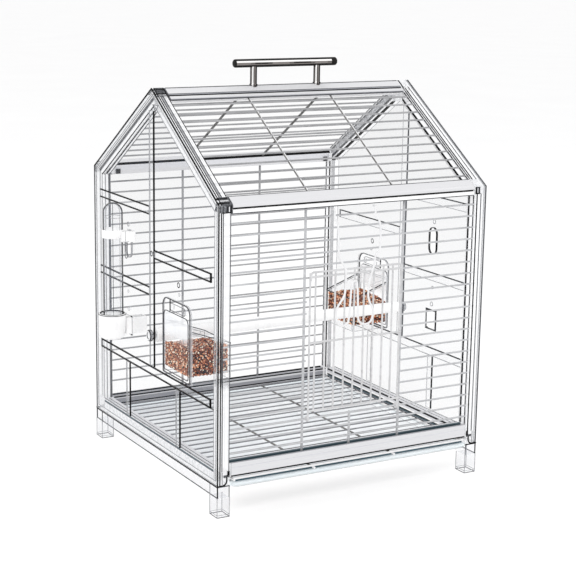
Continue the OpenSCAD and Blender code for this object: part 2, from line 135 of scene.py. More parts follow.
def plain(name, c0, c1, rough=(0.3, 0.4), metal=0.0, alpha=1.0, scale=(1, 1, 1), nscale=60.0,
          detail=4.0, bmp=0.05, spec=0.5, coat=0.0, bscale=None):
    """Two-tone noise colour, varied roughness and a fine bump."""
    m, nt, b = new_mat(name)
    mp = mapping(nt, scale)
    n = noise(nt, mp, nscale, detail)
    r = ramp(nt, n.outputs["Fac"], [(0.3, c0), (0.7, c1)])
    nt.links.new(r.outputs[0], b.inputs["Base Color"])
    nt.links.new(rng(nt, n.outputs["Fac"], *rough).outputs[0], b.inputs["Roughness"])
    b.inputs["Metallic"].default_value = metal
    b.inputs["Specular IOR Level"].default_value = spec
    b.inputs["Coat Weight"].default_value = coat
    b.inputs["Alpha"].default_value = alpha
    if bmp:
        n2 = noise(nt, mp, bscale or nscale * 6, 3.0)
        bump(nt, b, n2.outputs["Fac"], bmp)
    return m


M = {}
M["field"] = plain("clear_field", (0.04, 0.055, 0.085), (0.09, 0.11, 0.15), (0.03, 0.07), alpha=0.066, nscale=9, bmp=0.012, bscale=30)
M["clear"] = plain("clear_raised", (0.90, 0.915, 0.94), (0.95, 0.96, 0.975), (0.04, 0.08), alpha=0.08, nscale=14, bmp=0.01, bscale=40)
M["side"] = plain("clear_side", (0.62, 0.63, 0.66), (0.74, 0.75, 0.78), (0.08, 0.16), alpha=0.3, nscale=40, bmp=0.02)
# painted shade: near-black, dark grey and grey paints for the dark lines the clear parts show along their edges, seams,
# grooves and hole walls
M["edge"] = plain("painted_edge_shade", (0.0008, 0.0009, 0.0012), (0.004, 0.0042, 0.005), (0.35, 0.5), nscale=90, bmp=0.02, spec=0.08)
M["edge_mid"] = plain("painted_edge_shade_mid", (0.035, 0.037, 0.042), (0.085, 0.088, 0.098), (0.25, 0.4), alpha=0.92, nscale=70, bmp=0.02, spec=0.2)
M["edge_soft"] = plain("painted_edge_shade_soft", (0.25, 0.255, 0.27), (0.34, 0.345, 0.36), (0.2, 0.3), alpha=0.62, nscale=60, bmp=0.02, spec=0.3)


def windowed(name, c0, c1, full, win, rough, z_=(0.163, 0.171, 0.220, 0.229), low=None):
    """Clear extrusion: milky over most of its length, clear where a cup stands behind it."""
    ends = (full if low is None else low,)
    m, nt, b = new_mat(name)
    mp = mapping(nt, (3, 3, 0.4))
    n = noise(nt, mp, 30.0, 4.0)
    nt.links.new(ramp(nt, n.outputs["Fac"], [(0.3, c0), (0.7, c1)]).outputs[0], b.inputs["Base Color"])
    nt.links.new(rng(nt, n.outputs["Fac"], *rough).outputs[0], b.inputs["Roughness"])
    tc = nt.nodes.new("ShaderNodeTexCoord")
    sp = nt.nodes.new("ShaderNodeSeparateXYZ")
    nt.links.new(tc.outputs["Object"], sp.inputs[0])
    a = ramp(nt, sp.outputs[2], [(z_[0], (ends[0],) * 3), (z_[1], (win,) * 3), (z_[2], (win,) * 3), (z_[3], (full,) * 3)])
    nt.links.new(a.outputs[0], b.inputs["Alpha"])
    n2 = noise(nt, mp, 180.0, 3.0)
    bump(nt, b, n2.outputs["Fac"], 0.02)
    return m


M["profile_w"] = windowed("clear_upright", (0.90, 0.905, 0.92), (0.95, 0.953, 0.965), 0.66, 0.05, (0.10, 0.18))
M["veil_w"] = windowed("frosted_upright", (0.92, 0.925, 0.94), (0.96, 0.965, 0.975), 0.72, 0.04, (0.3, 0.45))
M["veil_s"] = plain("milky_land", (0.86, 0.865, 0.88), (0.93, 0.935, 0.945), (0.25, 0.4), alpha=0.8, scale=(3, 3, 0.4), nscale=30, bmp=0.02)
M["soft_w"] = windowed("upright_line", (0.25, 0.255, 0.27), (0.34, 0.345, 0.36), 0.62, 0.22, (0.2, 0.3))
M["profile"] = plain("clear_profile", (0.90, 0.905, 0.92), (0.95, 0.953, 0.965), (0.10, 0.18), alpha=0.62, scale=(3, 3, 0.4), nscale=30, bmp=0.02)
M["veil"] = plain("frosted_backing", (0.92, 0.925, 0.94), (0.96, 0.965, 0.975), (0.3, 0.45), alpha=0.78, scale=(3, 3, 0.4), nscale=30, bmp=0.02)
# painted shade: grey for the floor of the profile's groove, which lies in shade
M["groove"] = plain("profile_groove_shade", (0.20, 0.205, 0.22), (0.36, 0.365, 0.38), (0.25, 0.35), alpha=0.9, scale=(3, 3, 0.4), nscale=40, bmp=0.03, spec=0.3)
M["base"] = plain("clear_base", (0.34, 0.36, 0.42), (0.46, 0.48, 0.54), (0.05, 0.10), alpha=0.115, nscale=16, bmp=0.015)
# painted shade: dark and mid grey paints for joint faces that lie in shade
M["smoke"] = plain("joint_painted_shade", (0.002, 0.002, 0.003), (0.13, 0.135, 0.15), (0.25, 0.45), alpha=0.94, nscale=520, detail=2.0, bmp=0.1, spec=0.2)
M["smoke_mid"] = plain("joint_painted_shade_light", (0.05, 0.052, 0.058), (0.30, 0.31, 0.33), (0.25, 0.45), alpha=0.92, nscale=420, detail=2.0, bmp=0.1, spec=0.2)
M["white_gap"] = plain("joint_highlight", (0.80, 0.81, 0.83), (0.90, 0.905, 0.92), (0.2, 0.35), nscale=200, bmp=0.05)
M["clear_joint"] = plain("clear_joint", (0.78, 0.79, 0.81), (0.90, 0.905, 0.92), (0.08, 0.2), alpha=0.62, nscale=220, bmp=0.05)


def glassy(name, mid, rim, a_mid, a_rim, rough, stops=(0.45, 0.8), nscale=16, bmp=0.012):
    """Clear wall painted darker where it turns away from the view: painted shade standing in for the dark rims a
    moulded tube shows.
    """
    m, nt, b = new_mat(name)
    lw = nt.nodes.new("ShaderNodeLayerWeight")
    lw.inputs["Blend"].default_value = 0.5
    mp = mapping(nt, (1, 1, 1))
    n = noise(nt, mp, nscale, 3.0)
    mx = nt.nodes.new("ShaderNodeMath")
    mx.operation = "MULTIPLY_ADD"
    mx.inputs[1].default_value = 0.08
    nt.links.new(n.outputs["Fac"], mx.inputs[0])
    nt.links.new(lw.outputs["Facing"], mx.inputs[2])
    c = ramp(nt, mx.outputs[0], [(stops[0], mid), (stops[1], rim)])
    a = ramp(nt, mx.outputs[0], [(stops[0], (a_mid,) * 3), (stops[1], (a_rim,) * 3)])
    nt.links.new(c.outputs[0], b.inputs["Base Color"])
    nt.links.new(a.outputs[0], b.inputs["Alpha"])
    nt.links.new(rng(nt, n.outputs["Fac"], *rough).outputs[0], b.inputs["Roughness"])
    n2 = noise(nt, mp, nscale * 5, 2.0)
    bump(nt, b, n2.outputs["Fac"], bmp)
    return m


def brushed(name, c0, c1, rough, stretch=(1.5, 240, 240), metal=1.0, bmp=0.06, spec=0.5):
    m, nt, b = new_mat(name)
    mp = mapping(nt, stretch)
    n = noise(nt, mp, 8.0, 6.0, 0.65)
    mp2 = mapping(nt, (1, 1, 1))
    n2 = noise(nt, mp2, 12.0, 3.0)
    r = ramp(nt, n.outputs["Fac"], [(0.25, c0), (0.75, c1)])
    nt.links.new(r.outputs[0], b.inputs["Base Color"])
    nt.links.new(rng(nt, n2.outputs["Fac"], *rough).outputs[0], b.inputs["Roughness"])
    b.inputs["Metallic"].default_value = metal
    b.inputs["Specular IOR Level"].default_value = spec
    bump(nt, b, n.outputs["Fac"], bmp, 0.0002)
    return m


M["alu"] = brushed("satin_aluminium", (0.61, 0.61, 0.63), (0.70, 0.70, 0.715), (0.36, 0.48), metal=0.1)
M["alu_side"] = brushed("satin_aluminium_side", (0.60, 0.605, 0.64), (0.72, 0.725, 0.75), (0.32, 0.45), metal=0.1)
# painted shade: dark teal for the shade in the grooves of the aluminium bars and profiles
M["groove_shade"] = brushed("aluminium_groove_shade", (0.03, 0.055, 0.07), (0.085, 0.13, 0.155), (0.35, 0.5), metal=0.2)
M["alu_mid"] = brushed("aluminium_shade", (0.22, 0.225, 0.25), (0.33, 0.335, 0.36), (0.35, 0.5), metal=0.2)
# painted reflections: the handle's dark, grey, low and bright paints are laid in bands by angle round the bar and posts
for tag, st_ in (("", (1.5, 240, 240)), ("_v", (240, 240, 1.5))):
    M["st_dark" + tag] = brushed("handle_shadow" + tag, (0.003, 0.003, 0.003), (0.022, 0.021, 0.020), (0.35, 0.5), st_, metal=0.0, bmp=0.05, spec=0.08)
    M["st_mid" + tag] = brushed("handle_painted_reflection_grey" + tag, (0.15, 0.135, 0.128), (0.27, 0.25, 0.24), (0.25, 0.36), st_, metal=0.3, bmp=0.06, spec=0.3)
    M["st_low" + tag] = brushed("handle_low" + tag, (0.045, 0.041, 0.039), (0.10, 0.094, 0.09), (0.3, 0.42), st_, metal=0.2, bmp=0.06, spec=0.15)
    M["st_lite" + tag] = brushed("handle_bright" + tag, (0.84, 0.83, 0.82), (0.97, 0.96, 0.95), (0.2, 0.32), st_, metal=0.2, bmp=0.05)
# one coated wire in lit and shaded copies: the door lighter; the back, roof, floor and roof crossings darker because
# they lie in shade
M["wire"] = plain("coated_wire", (0.40, 0.405, 0.42), (0.52, 0.525, 0.54), (0.22, 0.34), metal=0.1, scale=(0.2, 1, 1), nscale=120, bmp=0.03)
M["wire_back"] = plain("coated_wire_shaded_back", (0.26, 0.262, 0.272), (0.38, 0.382, 0.392), (0.22, 0.34), metal=0.1, scale=(0.2, 1, 1), nscale=120, bmp=0.03)
M["wire_door"] = plain("coated_wire_lit_door", (0.50, 0.50, 0.51), (0.62, 0.62, 0.63), (0.22, 0.34), metal=0.1, scale=(0.2, 1, 1), nscale=120, bmp=0.03)
M["wire_dark"] = plain("coated_wire_shaded_floor", (0.16, 0.165, 0.18), (0.25, 0.255, 0.27), (0.22, 0.34), metal=0.1, scale=(0.2, 1, 1), nscale=120, bmp=0.03)
M["wire_brown"] = plain("coated_wire_shaded_cross", (0.10, 0.095, 0.09), (0.22, 0.215, 0.21), (0.22, 0.34), metal=0.1, scale=(1, 1, 1), nscale=90, bmp=0.03)
M["wire_zig"] = plain("coated_wire_deep_shade_rear_cross", (0.035, 0.035, 0.036), (0.20, 0.198, 0.195), (0.3, 0.42), metal=0.1, scale=(1, 1, 1), nscale=260, bmp=0.05, spec=0.2)
M["wire_white"] = plain("white_wire", (0.70, 0.70, 0.71), (0.80, 0.80, 0.81), (0.2, 0.3), nscale=120, bmp=0.03)
M["black"] = plain("black_plastic", (0.006, 0.006, 0.007), (0.02, 0.02, 0.022), (0.32, 0.48), nscale=160, bmp=0.15)
M["white"] = plain("white_plastic", (0.86, 0.86, 0.865), (0.92, 0.92, 0.92), (0.22, 0.34), nscale=45, bmp=0.03, coat=0.15)
# painted shade: a darker copy of the white plastic for the faces inside the cup and on the shelf
M["white_in"] = plain("white_plastic_shaded_inside", (0.74, 0.745, 0.76), (0.84, 0.845, 0.86), (0.25, 0.4), nscale=45, bmp=0.03)
M["tray"] = plain("clear_tray", (0.80, 0.88, 0.92), (0.88, 0.94, 0.965), (0.06, 0.12), alpha=0.40, nscale=12, bmp=0.02)
M["tray_floor"] = plain("tray_floor", (0.80, 0.835, 0.865), (0.90, 0.92, 0.94), (0.12, 0.22), alpha=0.9, nscale=10, bmp=0.02)
M["lip_dark"] = plain("tray_channel", (0.16, 0.24, 0.28), (0.32, 0.42, 0.47), (0.12, 0.22), alpha=0.85, scale=(0.3, 1, 1), nscale=14, bmp=0.02)
M["feeder"] = plain("clear_feeder", (0.10, 0.12, 0.16), (0.18, 0.20, 0.25), (0.04, 0.08), alpha=0.02, nscale=16, bmp=0.015)
# painted highlight: a milky white veil over the upper part of the feeder window, nearly clear low down where the seed
# shows
M["feeder_win"] = windowed("feeder_window_highlight", (0.80, 0.82, 0.85), (0.90, 0.91, 0.93), 0.50, 0.03, (0.06, 0.12), (0.100, 0.101, 0.197, 0.208), 0.03)
M["feeder_grip"] = plain("feeder_grip_back", (0.14, 0.17, 0.23), (0.24, 0.27, 0.34), (0.04, 0.08), alpha=0.035, nscale=26, bmp=0.015)
# painted shade: near-black outlines of the feeder
M["feeder_edge"] = plain("feeder_edge", (0.008, 0.009, 0.012), (0.035, 0.037, 0.043), (0.2, 0.3), alpha=0.98, nscale=60, bmp=0.02, spec=0.15)
# painted shade: the tube wall turns near-black and opaque where it faces away from the view
M["tube"] = glassy("clear_tube", (0.46, 0.49, 0.56), (0.002, 0.0022, 0.003), 0.035, 0.97, (0.03, 0.06), (0.49, 0.57))
M["tube_in"] = glassy("clear_tube_inner", (0.46, 0.49, 0.56), (0.12, 0.125, 0.14), 0.02, 0.40, (0.03, 0.06), (0.60, 0.72))
M["knob"] = glassy("clear_knob", (0.80, 0.82, 0.86), (0.012, 0.013, 0.016), 0.35, 0.95, (0.05, 0.1), (0.4, 0.75), nscale=60)
M["water"] = plain("water", (0.93, 0.94, 0.955), (0.97, 0.975, 0.98), (0.02, 0.05), alpha=0.9, nscale=70, bmp=0.06, bscale=90)
M["lip_mid"] = plain("tray_lip_top", (0.42, 0.50, 0.55), (0.56, 0.63, 0.67), (0.10, 0.2), alpha=0.8, scale=(0.3, 1, 1), nscale=14, bmp=0.02)
# a paler painted shade for one line of the rear rafter profile
M["painted_shade_dark_lite"] = plain("joint_painted_shade_pale", (0.16, 0.165, 0.18), (0.62, 0.63, 0.65), (0.25, 0.45), alpha=0.9, nscale=420, detail=2.0, bmp=0.1, spec=0.2)
# a paler copy of the knob paint for the right knob, lit where the left one is shaded
M["knob_r"] = glassy("clear_knob_pale", (0.82, 0.84, 0.88), (0.20, 0.205, 0.22), 0.25, 0.8, (0.05, 0.1), (0.5, 0.85), nscale=60)
# painted shadow: near-black blue for the shaded gap under the grate's front wire
M["navy"] = plain("grate_gap_painted_shadow", (0.012, 0.035, 0.05), (0.05, 0.10, 0.13), (0.3, 0.45), scale=(0.2, 1, 1), nscale=30, bmp=0.04, spec=0.2)


LIGHT_THROUGH = ("clear_panel", "frame_profile", "sill_profile", "clear_base", "clear_tray", "clear_feeder", "clear_tube", "wire", "white_wire")


def let_light(o, slot):
    """Clear sheet and thin wire cast no shadow in the soft studio light."""
    if slot in LIGHT_THROUGH:
        o.visible_shadow = False
        o.visible_diffuse = False


# ------------------------------------------------------------------ mesh tools
class Shape:
    """Collects vertices (mm), faces and a material for each face."""

    def __init__(self):
        self.v, self.f, self.m, self.s = [], [], [], []
        self.mats = []

    def mi(self, key):
        if key not in self.mats:
            self.mats.append(key)
        return self.mats.index(key)

    def add(self, verts, faces, key, smooth=False):
        o = len(self.v)
        self.v += [tuple(p) for p in verts]
        keys = key if isinstance(key, list) else [key] * len(faces)
        for f, k in zip(faces, keys):
            self.f.append([i + o for i in f])
            self.m.append(self.mi(k))
            self.s.append(smooth)

    def box(self, x0, x1, y0, y1, z0, z1, key, c=0.0):
        """Box with its edges cut by c; key is a material or six: -x +x -y +y -z +z."""
        if c <= 0:
            v = [(x, y, z) for x in (x0, x1) for y in (y0, y1) for z in (z0, z1)]
            f = [[0, 1, 3, 2], [4, 6, 7, 5], [0, 4, 5, 1], [2, 3, 7, 6], [0, 2, 6, 4], [1, 5, 7, 3]]
            self.add(v, f, key if isinstance(key, list) else [key] * 6)
            return
        keys = key if isinstance(key, list) else [key] * 6
        lo, hi = (x0, y0, z0), (x1, y1, z1)
        idx, v = {}, []
        for sx in (0, 1):
            for sy in (0, 1):
                for sz in (0, 1):
                    s = (sx, sy, sz)
                    for ax in range(3):
                        p = [hi[i] - c if s[i] else lo[i] + c for i in range(3)]
                        p[ax] = hi[ax] if s[ax] else lo[ax]
                        idx[(s, ax)] = len(v)
                        v.append(tuple(p))
        f, k = [], []
        for ax in range(3):
            a, b = [i for i in range(3) if i != ax]
            for s in (0, 1):
                q = []
                for ta, tb in ((0, 0), (1, 0), (1, 1), (0, 1)):
                    t = [0, 0, 0]
                    t[ax], t[a], t[b] = s, ta, tb
                    q.append(idx[(tuple(t), ax)])
                flip = (s == 0) != (ax == 1)
                f.append(q[::-1] if flip else q)
                k.append(keys[ax * 2 + s])
        for ax in range(3):
            a, b = [i for i in range(3) if i != ax]
            for ta in (0, 1):
                for tb in (0, 1):
                    t0, t1 = [0, 0, 0], [0, 0, 0]
                    t0[a] = t1[a] = ta
                    t0[b] = t1[b] = tb
                    t0[ax], t1[ax] = 0, 1
                    t0, t1 = tuple(t0), tuple(t1)
                    q = [idx[(t0, a)], idx[(t1, a)], idx[(t1, b)], idx[(t0, b)]]
                    f.append(q)
                    k.append(keys[a * 2 + ta])
        for sx in (0, 1):
            for sy in (0, 1):
                for sz in (0, 1):
                    s = (sx, sy, sz)
                    f.append([idx[(s, 0)], idx[(s, 1)], idx[(s, 2)]])
                    k.append(keys[sx])
        self.add(v, f, k)

    def sweep(self, section, start, end, keys, cap="side", smooth=False):
        """section: closed list of (a, b); start and end map (a, b) to a point; keys: one material for each edge of the section."""
        n = len(section)
        v = [start(a, b) for a, b in section] + [end(a, b) for a, b in section]
        f = [[i, (i + 1) % n, n + (i + 1) % n, n + i] for i in range(n)]
        k = keys if isinstance(keys, list) else [keys] * n
        self.add(v, f, k, smooth)
        if cap:
            self.add(v, [list(range(n))[::-1], [n + i for i in range(n)]], cap)

    def tube(self, path, r, key, n=12, caps=True):
        """Round wire along a path, bent with short mitres and closed with domed ends."""
        pts = [np.array(p, float) for p in path]
        t = []
        for i in range(len(pts)):
            a = pts[i] - pts[i - 1] if i else pts[1] - pts[0]
            b = pts[i + 1] - pts[i] if i + 1 < len(pts) else pts[i] - pts[i - 1]
            d = a / np.linalg.norm(a) + b / np.linalg.norm(b)
            t.append(d / max(np.linalg.norm(d), 1e-9))
        ref = np.array([0.0, 0.0, 1.0]) if abs(t[0][2]) < 0.9 else np.array([0.0, 1.0, 0.0])
        u = np.cross(t[0], ref)
        u /= np.linalg.norm(u)
        rings = []
        for i, p in enumerate(pts):
            u = u - t[i] * (u @ t[i])
            u /= np.linalg.norm(u)
            w = np.cross(t[i], u)
            rings.append((p, u.copy(), w, r, t[i]))
        full = []
        if caps:
            p, u0, w0, _, t0 = rings[0]
            for q in (0.98, 0.8, 0.45):
                full.append((p - t0 * r * 0.6 * q, u0, w0, r * math.sqrt(1 - q * q * 0.97), t0))
        full += rings
        if caps:
            p, u0, w0, _, t0 = rings[-1]
            for q in (0.45, 0.8, 0.98):
                full.append((p + t0 * r * 0.6 * q, u0, w0, r * math.sqrt(1 - q * q * 0.97), t0))
        v, f = [], []
        for p, uu, ww, rr, _ in full:
            for j in range(n):
                a = 2 * math.pi * j / n
                v.append(p + uu * (rr * math.cos(a)) + ww * (rr * math.sin(a)))
        for i in range(len(full) - 1):
            for j in range(n):
                f.append([i * n + j, i * n + (j + 1) % n, (i + 1) * n + (j + 1) % n, (i + 1) * n + j])
        self.add(v, f, key, True)
        m = len(full)
        self.add([v[j] for j in range(n)], [list(range(n))[::-1]], key, False)
        self.add([v[(m - 1) * n + j] for j in range(n)], [list(range(n))], key, False)

    def lathe(self, prof, origin, axis, keys, n=64, up=(0, 0, 1)):
        """prof: list of (h, r) along axis from origin."""
        ax = np.array(axis, float)
        ax /= np.linalg.norm(ax)
        ref = np.array(up, float) if abs(ax @ np.array(up, float)) < 0.9 else np.array([0.0, 1.0, 0.0])
        u = np.cross(ax, ref)
        u /= np.linalg.norm(u)
        w = np.cross(ax, u)
        o = np.array(origin, float)
        v, f, k = [], [], []
        rows = []
        for h, r in prof:
            if r < 1e-6:
                rows.append([len(v)])
                v.append(o + ax * h)
            else:
                rows.append(list(range(len(v), len(v) + n)))
                for j in range(n):
                    a = 2 * math.pi * j / n
                    v.append(o + ax * h + u * (r * math.cos(a)) + w * (r * math.sin(a)))
        for i in range(len(rows) - 1):
            a, b = rows[i], rows[i + 1]
            for j in range(n):
                key = keys[i] if isinstance(keys, list) else (keys(i, 360.0 * (j + 0.5) / n) if callable(keys) else keys)
                if len(a) == 1 and len(b) == 1:
                    continue
                if len(a) == 1:
                    q = [a[0], b[(j + 1) % n], b[j]]
                elif len(b) == 1:
                    q = [a[j], a[(j + 1) % n], b[0]]
                else:
                    q = [a[j], a[(j + 1) % n], b[(j + 1) % n], b[j]]
                f.append(q)
                k.append(key)
        self.add(v, f, k, True)

    def mirrored(self, fx=1, fy=1):
        o = Shape()
        o.mats = list(self.mats)
        o.v = [(p[0] * fx, p[1] * fy, p[2]) for p in self.v]
        o.f = [f[::-1] if fx * fy < 0 else list(f) for f in self.f]
        o.m, o.s = list(self.m), list(self.s)
        return o

    def build(self, name, body, slot=None, replaces=(), weld=0.0, flat_angle=None, bevel=0.0):
        me = bpy.data.meshes.new(name)
        me.from_pydata([(x * MM, y * MM, z * MM) for x, y, z in self.v], [], self.f)
        for key in self.mats:
            me.materials.append(M[key])
        me.polygons.foreach_set("material_index", self.m)
        me.polygons.foreach_set("use_smooth", self.s)
        me.update()
        bm = bmesh.new()
        bm.from_mesh(me)
        if weld:
            bmesh.ops.remove_doubles(bm, verts=bm.verts, dist=weld * MM)
        bmesh.ops.recalc_face_normals(bm, faces=bm.faces)
        bm.to_mesh(me)
        bm.free()
        o = bpy.data.objects.new(name, me)
        bpy.context.scene.collection.objects.link(o)
        if bevel:
            b = o.modifiers.new("soft_edges", "BEVEL")
            b.width = bevel * MM
            b.segments = 2
            b.limit_method = "ANGLE"
            b.angle_limit = math.radians(40)
            b.harden_normals = False
        if replaces:
            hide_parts(*replaces)
        if slot:
            let_light(o, slot)
        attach(o, body)
        return o


def loop_prism(sh, outer, inner, x0, x1, key):
    """Closed ring between two outlines in the YZ plane, from x0 to x1."""
    n = len(outer)
    v = [(x0, y, z) for y, z in outer] + [(x0, y, z) for y, z in inner] + [(x1, y, z) for y, z in outer] + [(x1, y, z) for y, z in inner]
    f = []
    for i in range(n):
        j = (i + 1) % n
        f += [[i, j, n + j, n + i], [2 * n + i, 3 * n + i, 3 * n + j, 2 * n + j], [i, 2 * n + i, 2 * n + j, j], [n + i, n + j, 3 * n + j, 3 * n + i]]
    if callable(key):
        kk = []
        for i in range(n):
            j = (i + 1) % n
            kk += [key((outer[i][0] + outer[j][0]) / 2, (outer[i][1] + outer[j][1]) / 2)] * 4
        key = kk
    sh.add(v, f, key)


def gable(t):
    return [(-(D2 - t), ZB + t), (D2 - t, ZB + t), (D2 - t, HR - t / CA - K * (D2 - t)), (0, HR - t / CA), (-(D2 - t), HR - t / CA - K * (D2 - t))]


def arc(cx, cy, r, a0, a1, n):
    return [(cx + r * math.cos(math.radians(a0 + (a1 - a0) * i / n)), cy + r * math.sin(math.radians(a0 + (a1 - a0) * i / n))) for i in range(n + 1)]


def circle(cx, cy, r, n=32):
    return arc(cx, cy, r, 0, 360, n)[:-1]


def rect(y0, y1, z0, z1):
    return [(y0, z0), (y1, z0), (y1, z1), (y0, z1)]


def tomb(y0, y1, z0, z1, r, rb=0.0, n=10):
    pts = []
    if rb:
        pts += arc(y0 + rb, z0 + rb, rb, 180, 270, 6) + arc(y1 - rb, z0 + rb, rb, 270, 360, 6)
    else:
        pts += [(y0, z0), (y1, z0)]
    return pts + arc(y1 - r, z1 - r, r, 0, 90, n) + arc(y0 + r, z1 - r, r, 90, 180, n)


def slotted(cx, z0, z1, w):
    r = w / 2
    return arc(cx, z1 - r, r, 0, 180, 16) + arc(cx, z0 + r, r, 180, 360, 16)


def sheet(name, outer, holes, x0, x1, bevel, face, side, hole_side, body, slot=None, replaces=(), side_map=None):
    """Flat sheet in the YZ plane with holes and rounded arrises, from x0 to x1 (mm)."""
    cu = bpy.data.curves.new(name + "_c", "CURVE")
    cu.dimensions = "2D"
    cu.fill_mode = "BOTH"
    t = abs(x1 - x0)
    cu.extrude = (t / 2 - bevel) * MM
    cu.bevel_depth = bevel * MM
    cu.bevel_resolution = 1
    cu.offset = -bevel * MM
    for pts in [outer] + holes:
        sp = cu.splines.new("POLY")
        sp.points.add(len(pts) - 1)
        for q, (y, z) in zip(sp.points, pts):
            q.co = (y * MM, z * MM, 0, 1)
        sp.use_cyclic_u = True
    tmp = bpy.data.objects.new(name + "_c", cu)
    bpy.context.scene.collection.objects.link(tmp)
    bpy.context.view_layer.update()
    me = bpy.data.meshes.new_from_object(tmp.evaluated_get(bpy.context.evaluated_depsgraph_get()))
    bpy.data.objects.remove(tmp)
    xm = (x0 + x1) / 2 * MM
    me.transform(Matrix(((0, 0, 1, xm), (1, 0, 0, 0), (0, 1, 0, 0), (0, 0, 0, 1))))
    me.materials.clear()
    bm = bmesh.new()
    bm.from_mesh(me)
    bmesh.ops.remove_doubles(bm, verts=bm.verts, dist=1e-6)
    bmesh.ops.recalc_face_normals(bm, faces=bm.faces)
    keys = [face, side, hole_side]
    ys = [p[0] for p in outer]
    zs = [p[1] for p in outer]
    for f in bm.faces:
        f.smooth = False
        if abs(f.normal.x) > 0.75:
            f.material_index = 0
        else:
            c = f.calc_center_median() / MM
            on_outer = False
            for i in range(len(outer)):
                a = Vector(outer[i]); b = Vector(outer[(i + 1) % len(outer)])
                q = Vector((c.y, c.z)); d = b - a
                u = max(0.0, min(1.0, (q - a).dot(d) / max(d.length_squared, 1e-9)))
                if (a + d * u - q).length < max(0.7, bevel * 1.6):
                    on_outer = True
                    break
            f.material_index = 1 if on_outer else 2
            if on_outer and side_map:
                k = side_map(f.normal)
                if k not in keys:
                    keys.append(k)
                f.material_index = keys.index(k)
    bm.to_mesh(me)
    bm.free()
    for k in keys:
        me.materials.append(M[k])
    me.name = name
    o = bpy.data.objects.new(name, me)
    bpy.context.scene.collection.objects.link(o)
    if replaces:
        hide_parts(*replaces)
    if slot:
        let_light(o, slot)
    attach(o, body)
    return o


# ------------------------------------------------------------------ gable panels
FY, PW, FZ0, FZ1 = 72.3, 80.0, 149.7, 250.3
DY = 78.0
ZLOW, ZREAR, ZFRONT, ZTOP, BW = 141.8, 247.9, 298.9, 354.6, 11.6


def flip2(pts, s):
    return [(y * s, z) for y, z in pts] if s > 0 else [(-y, z) for y, z in pts][::-1]


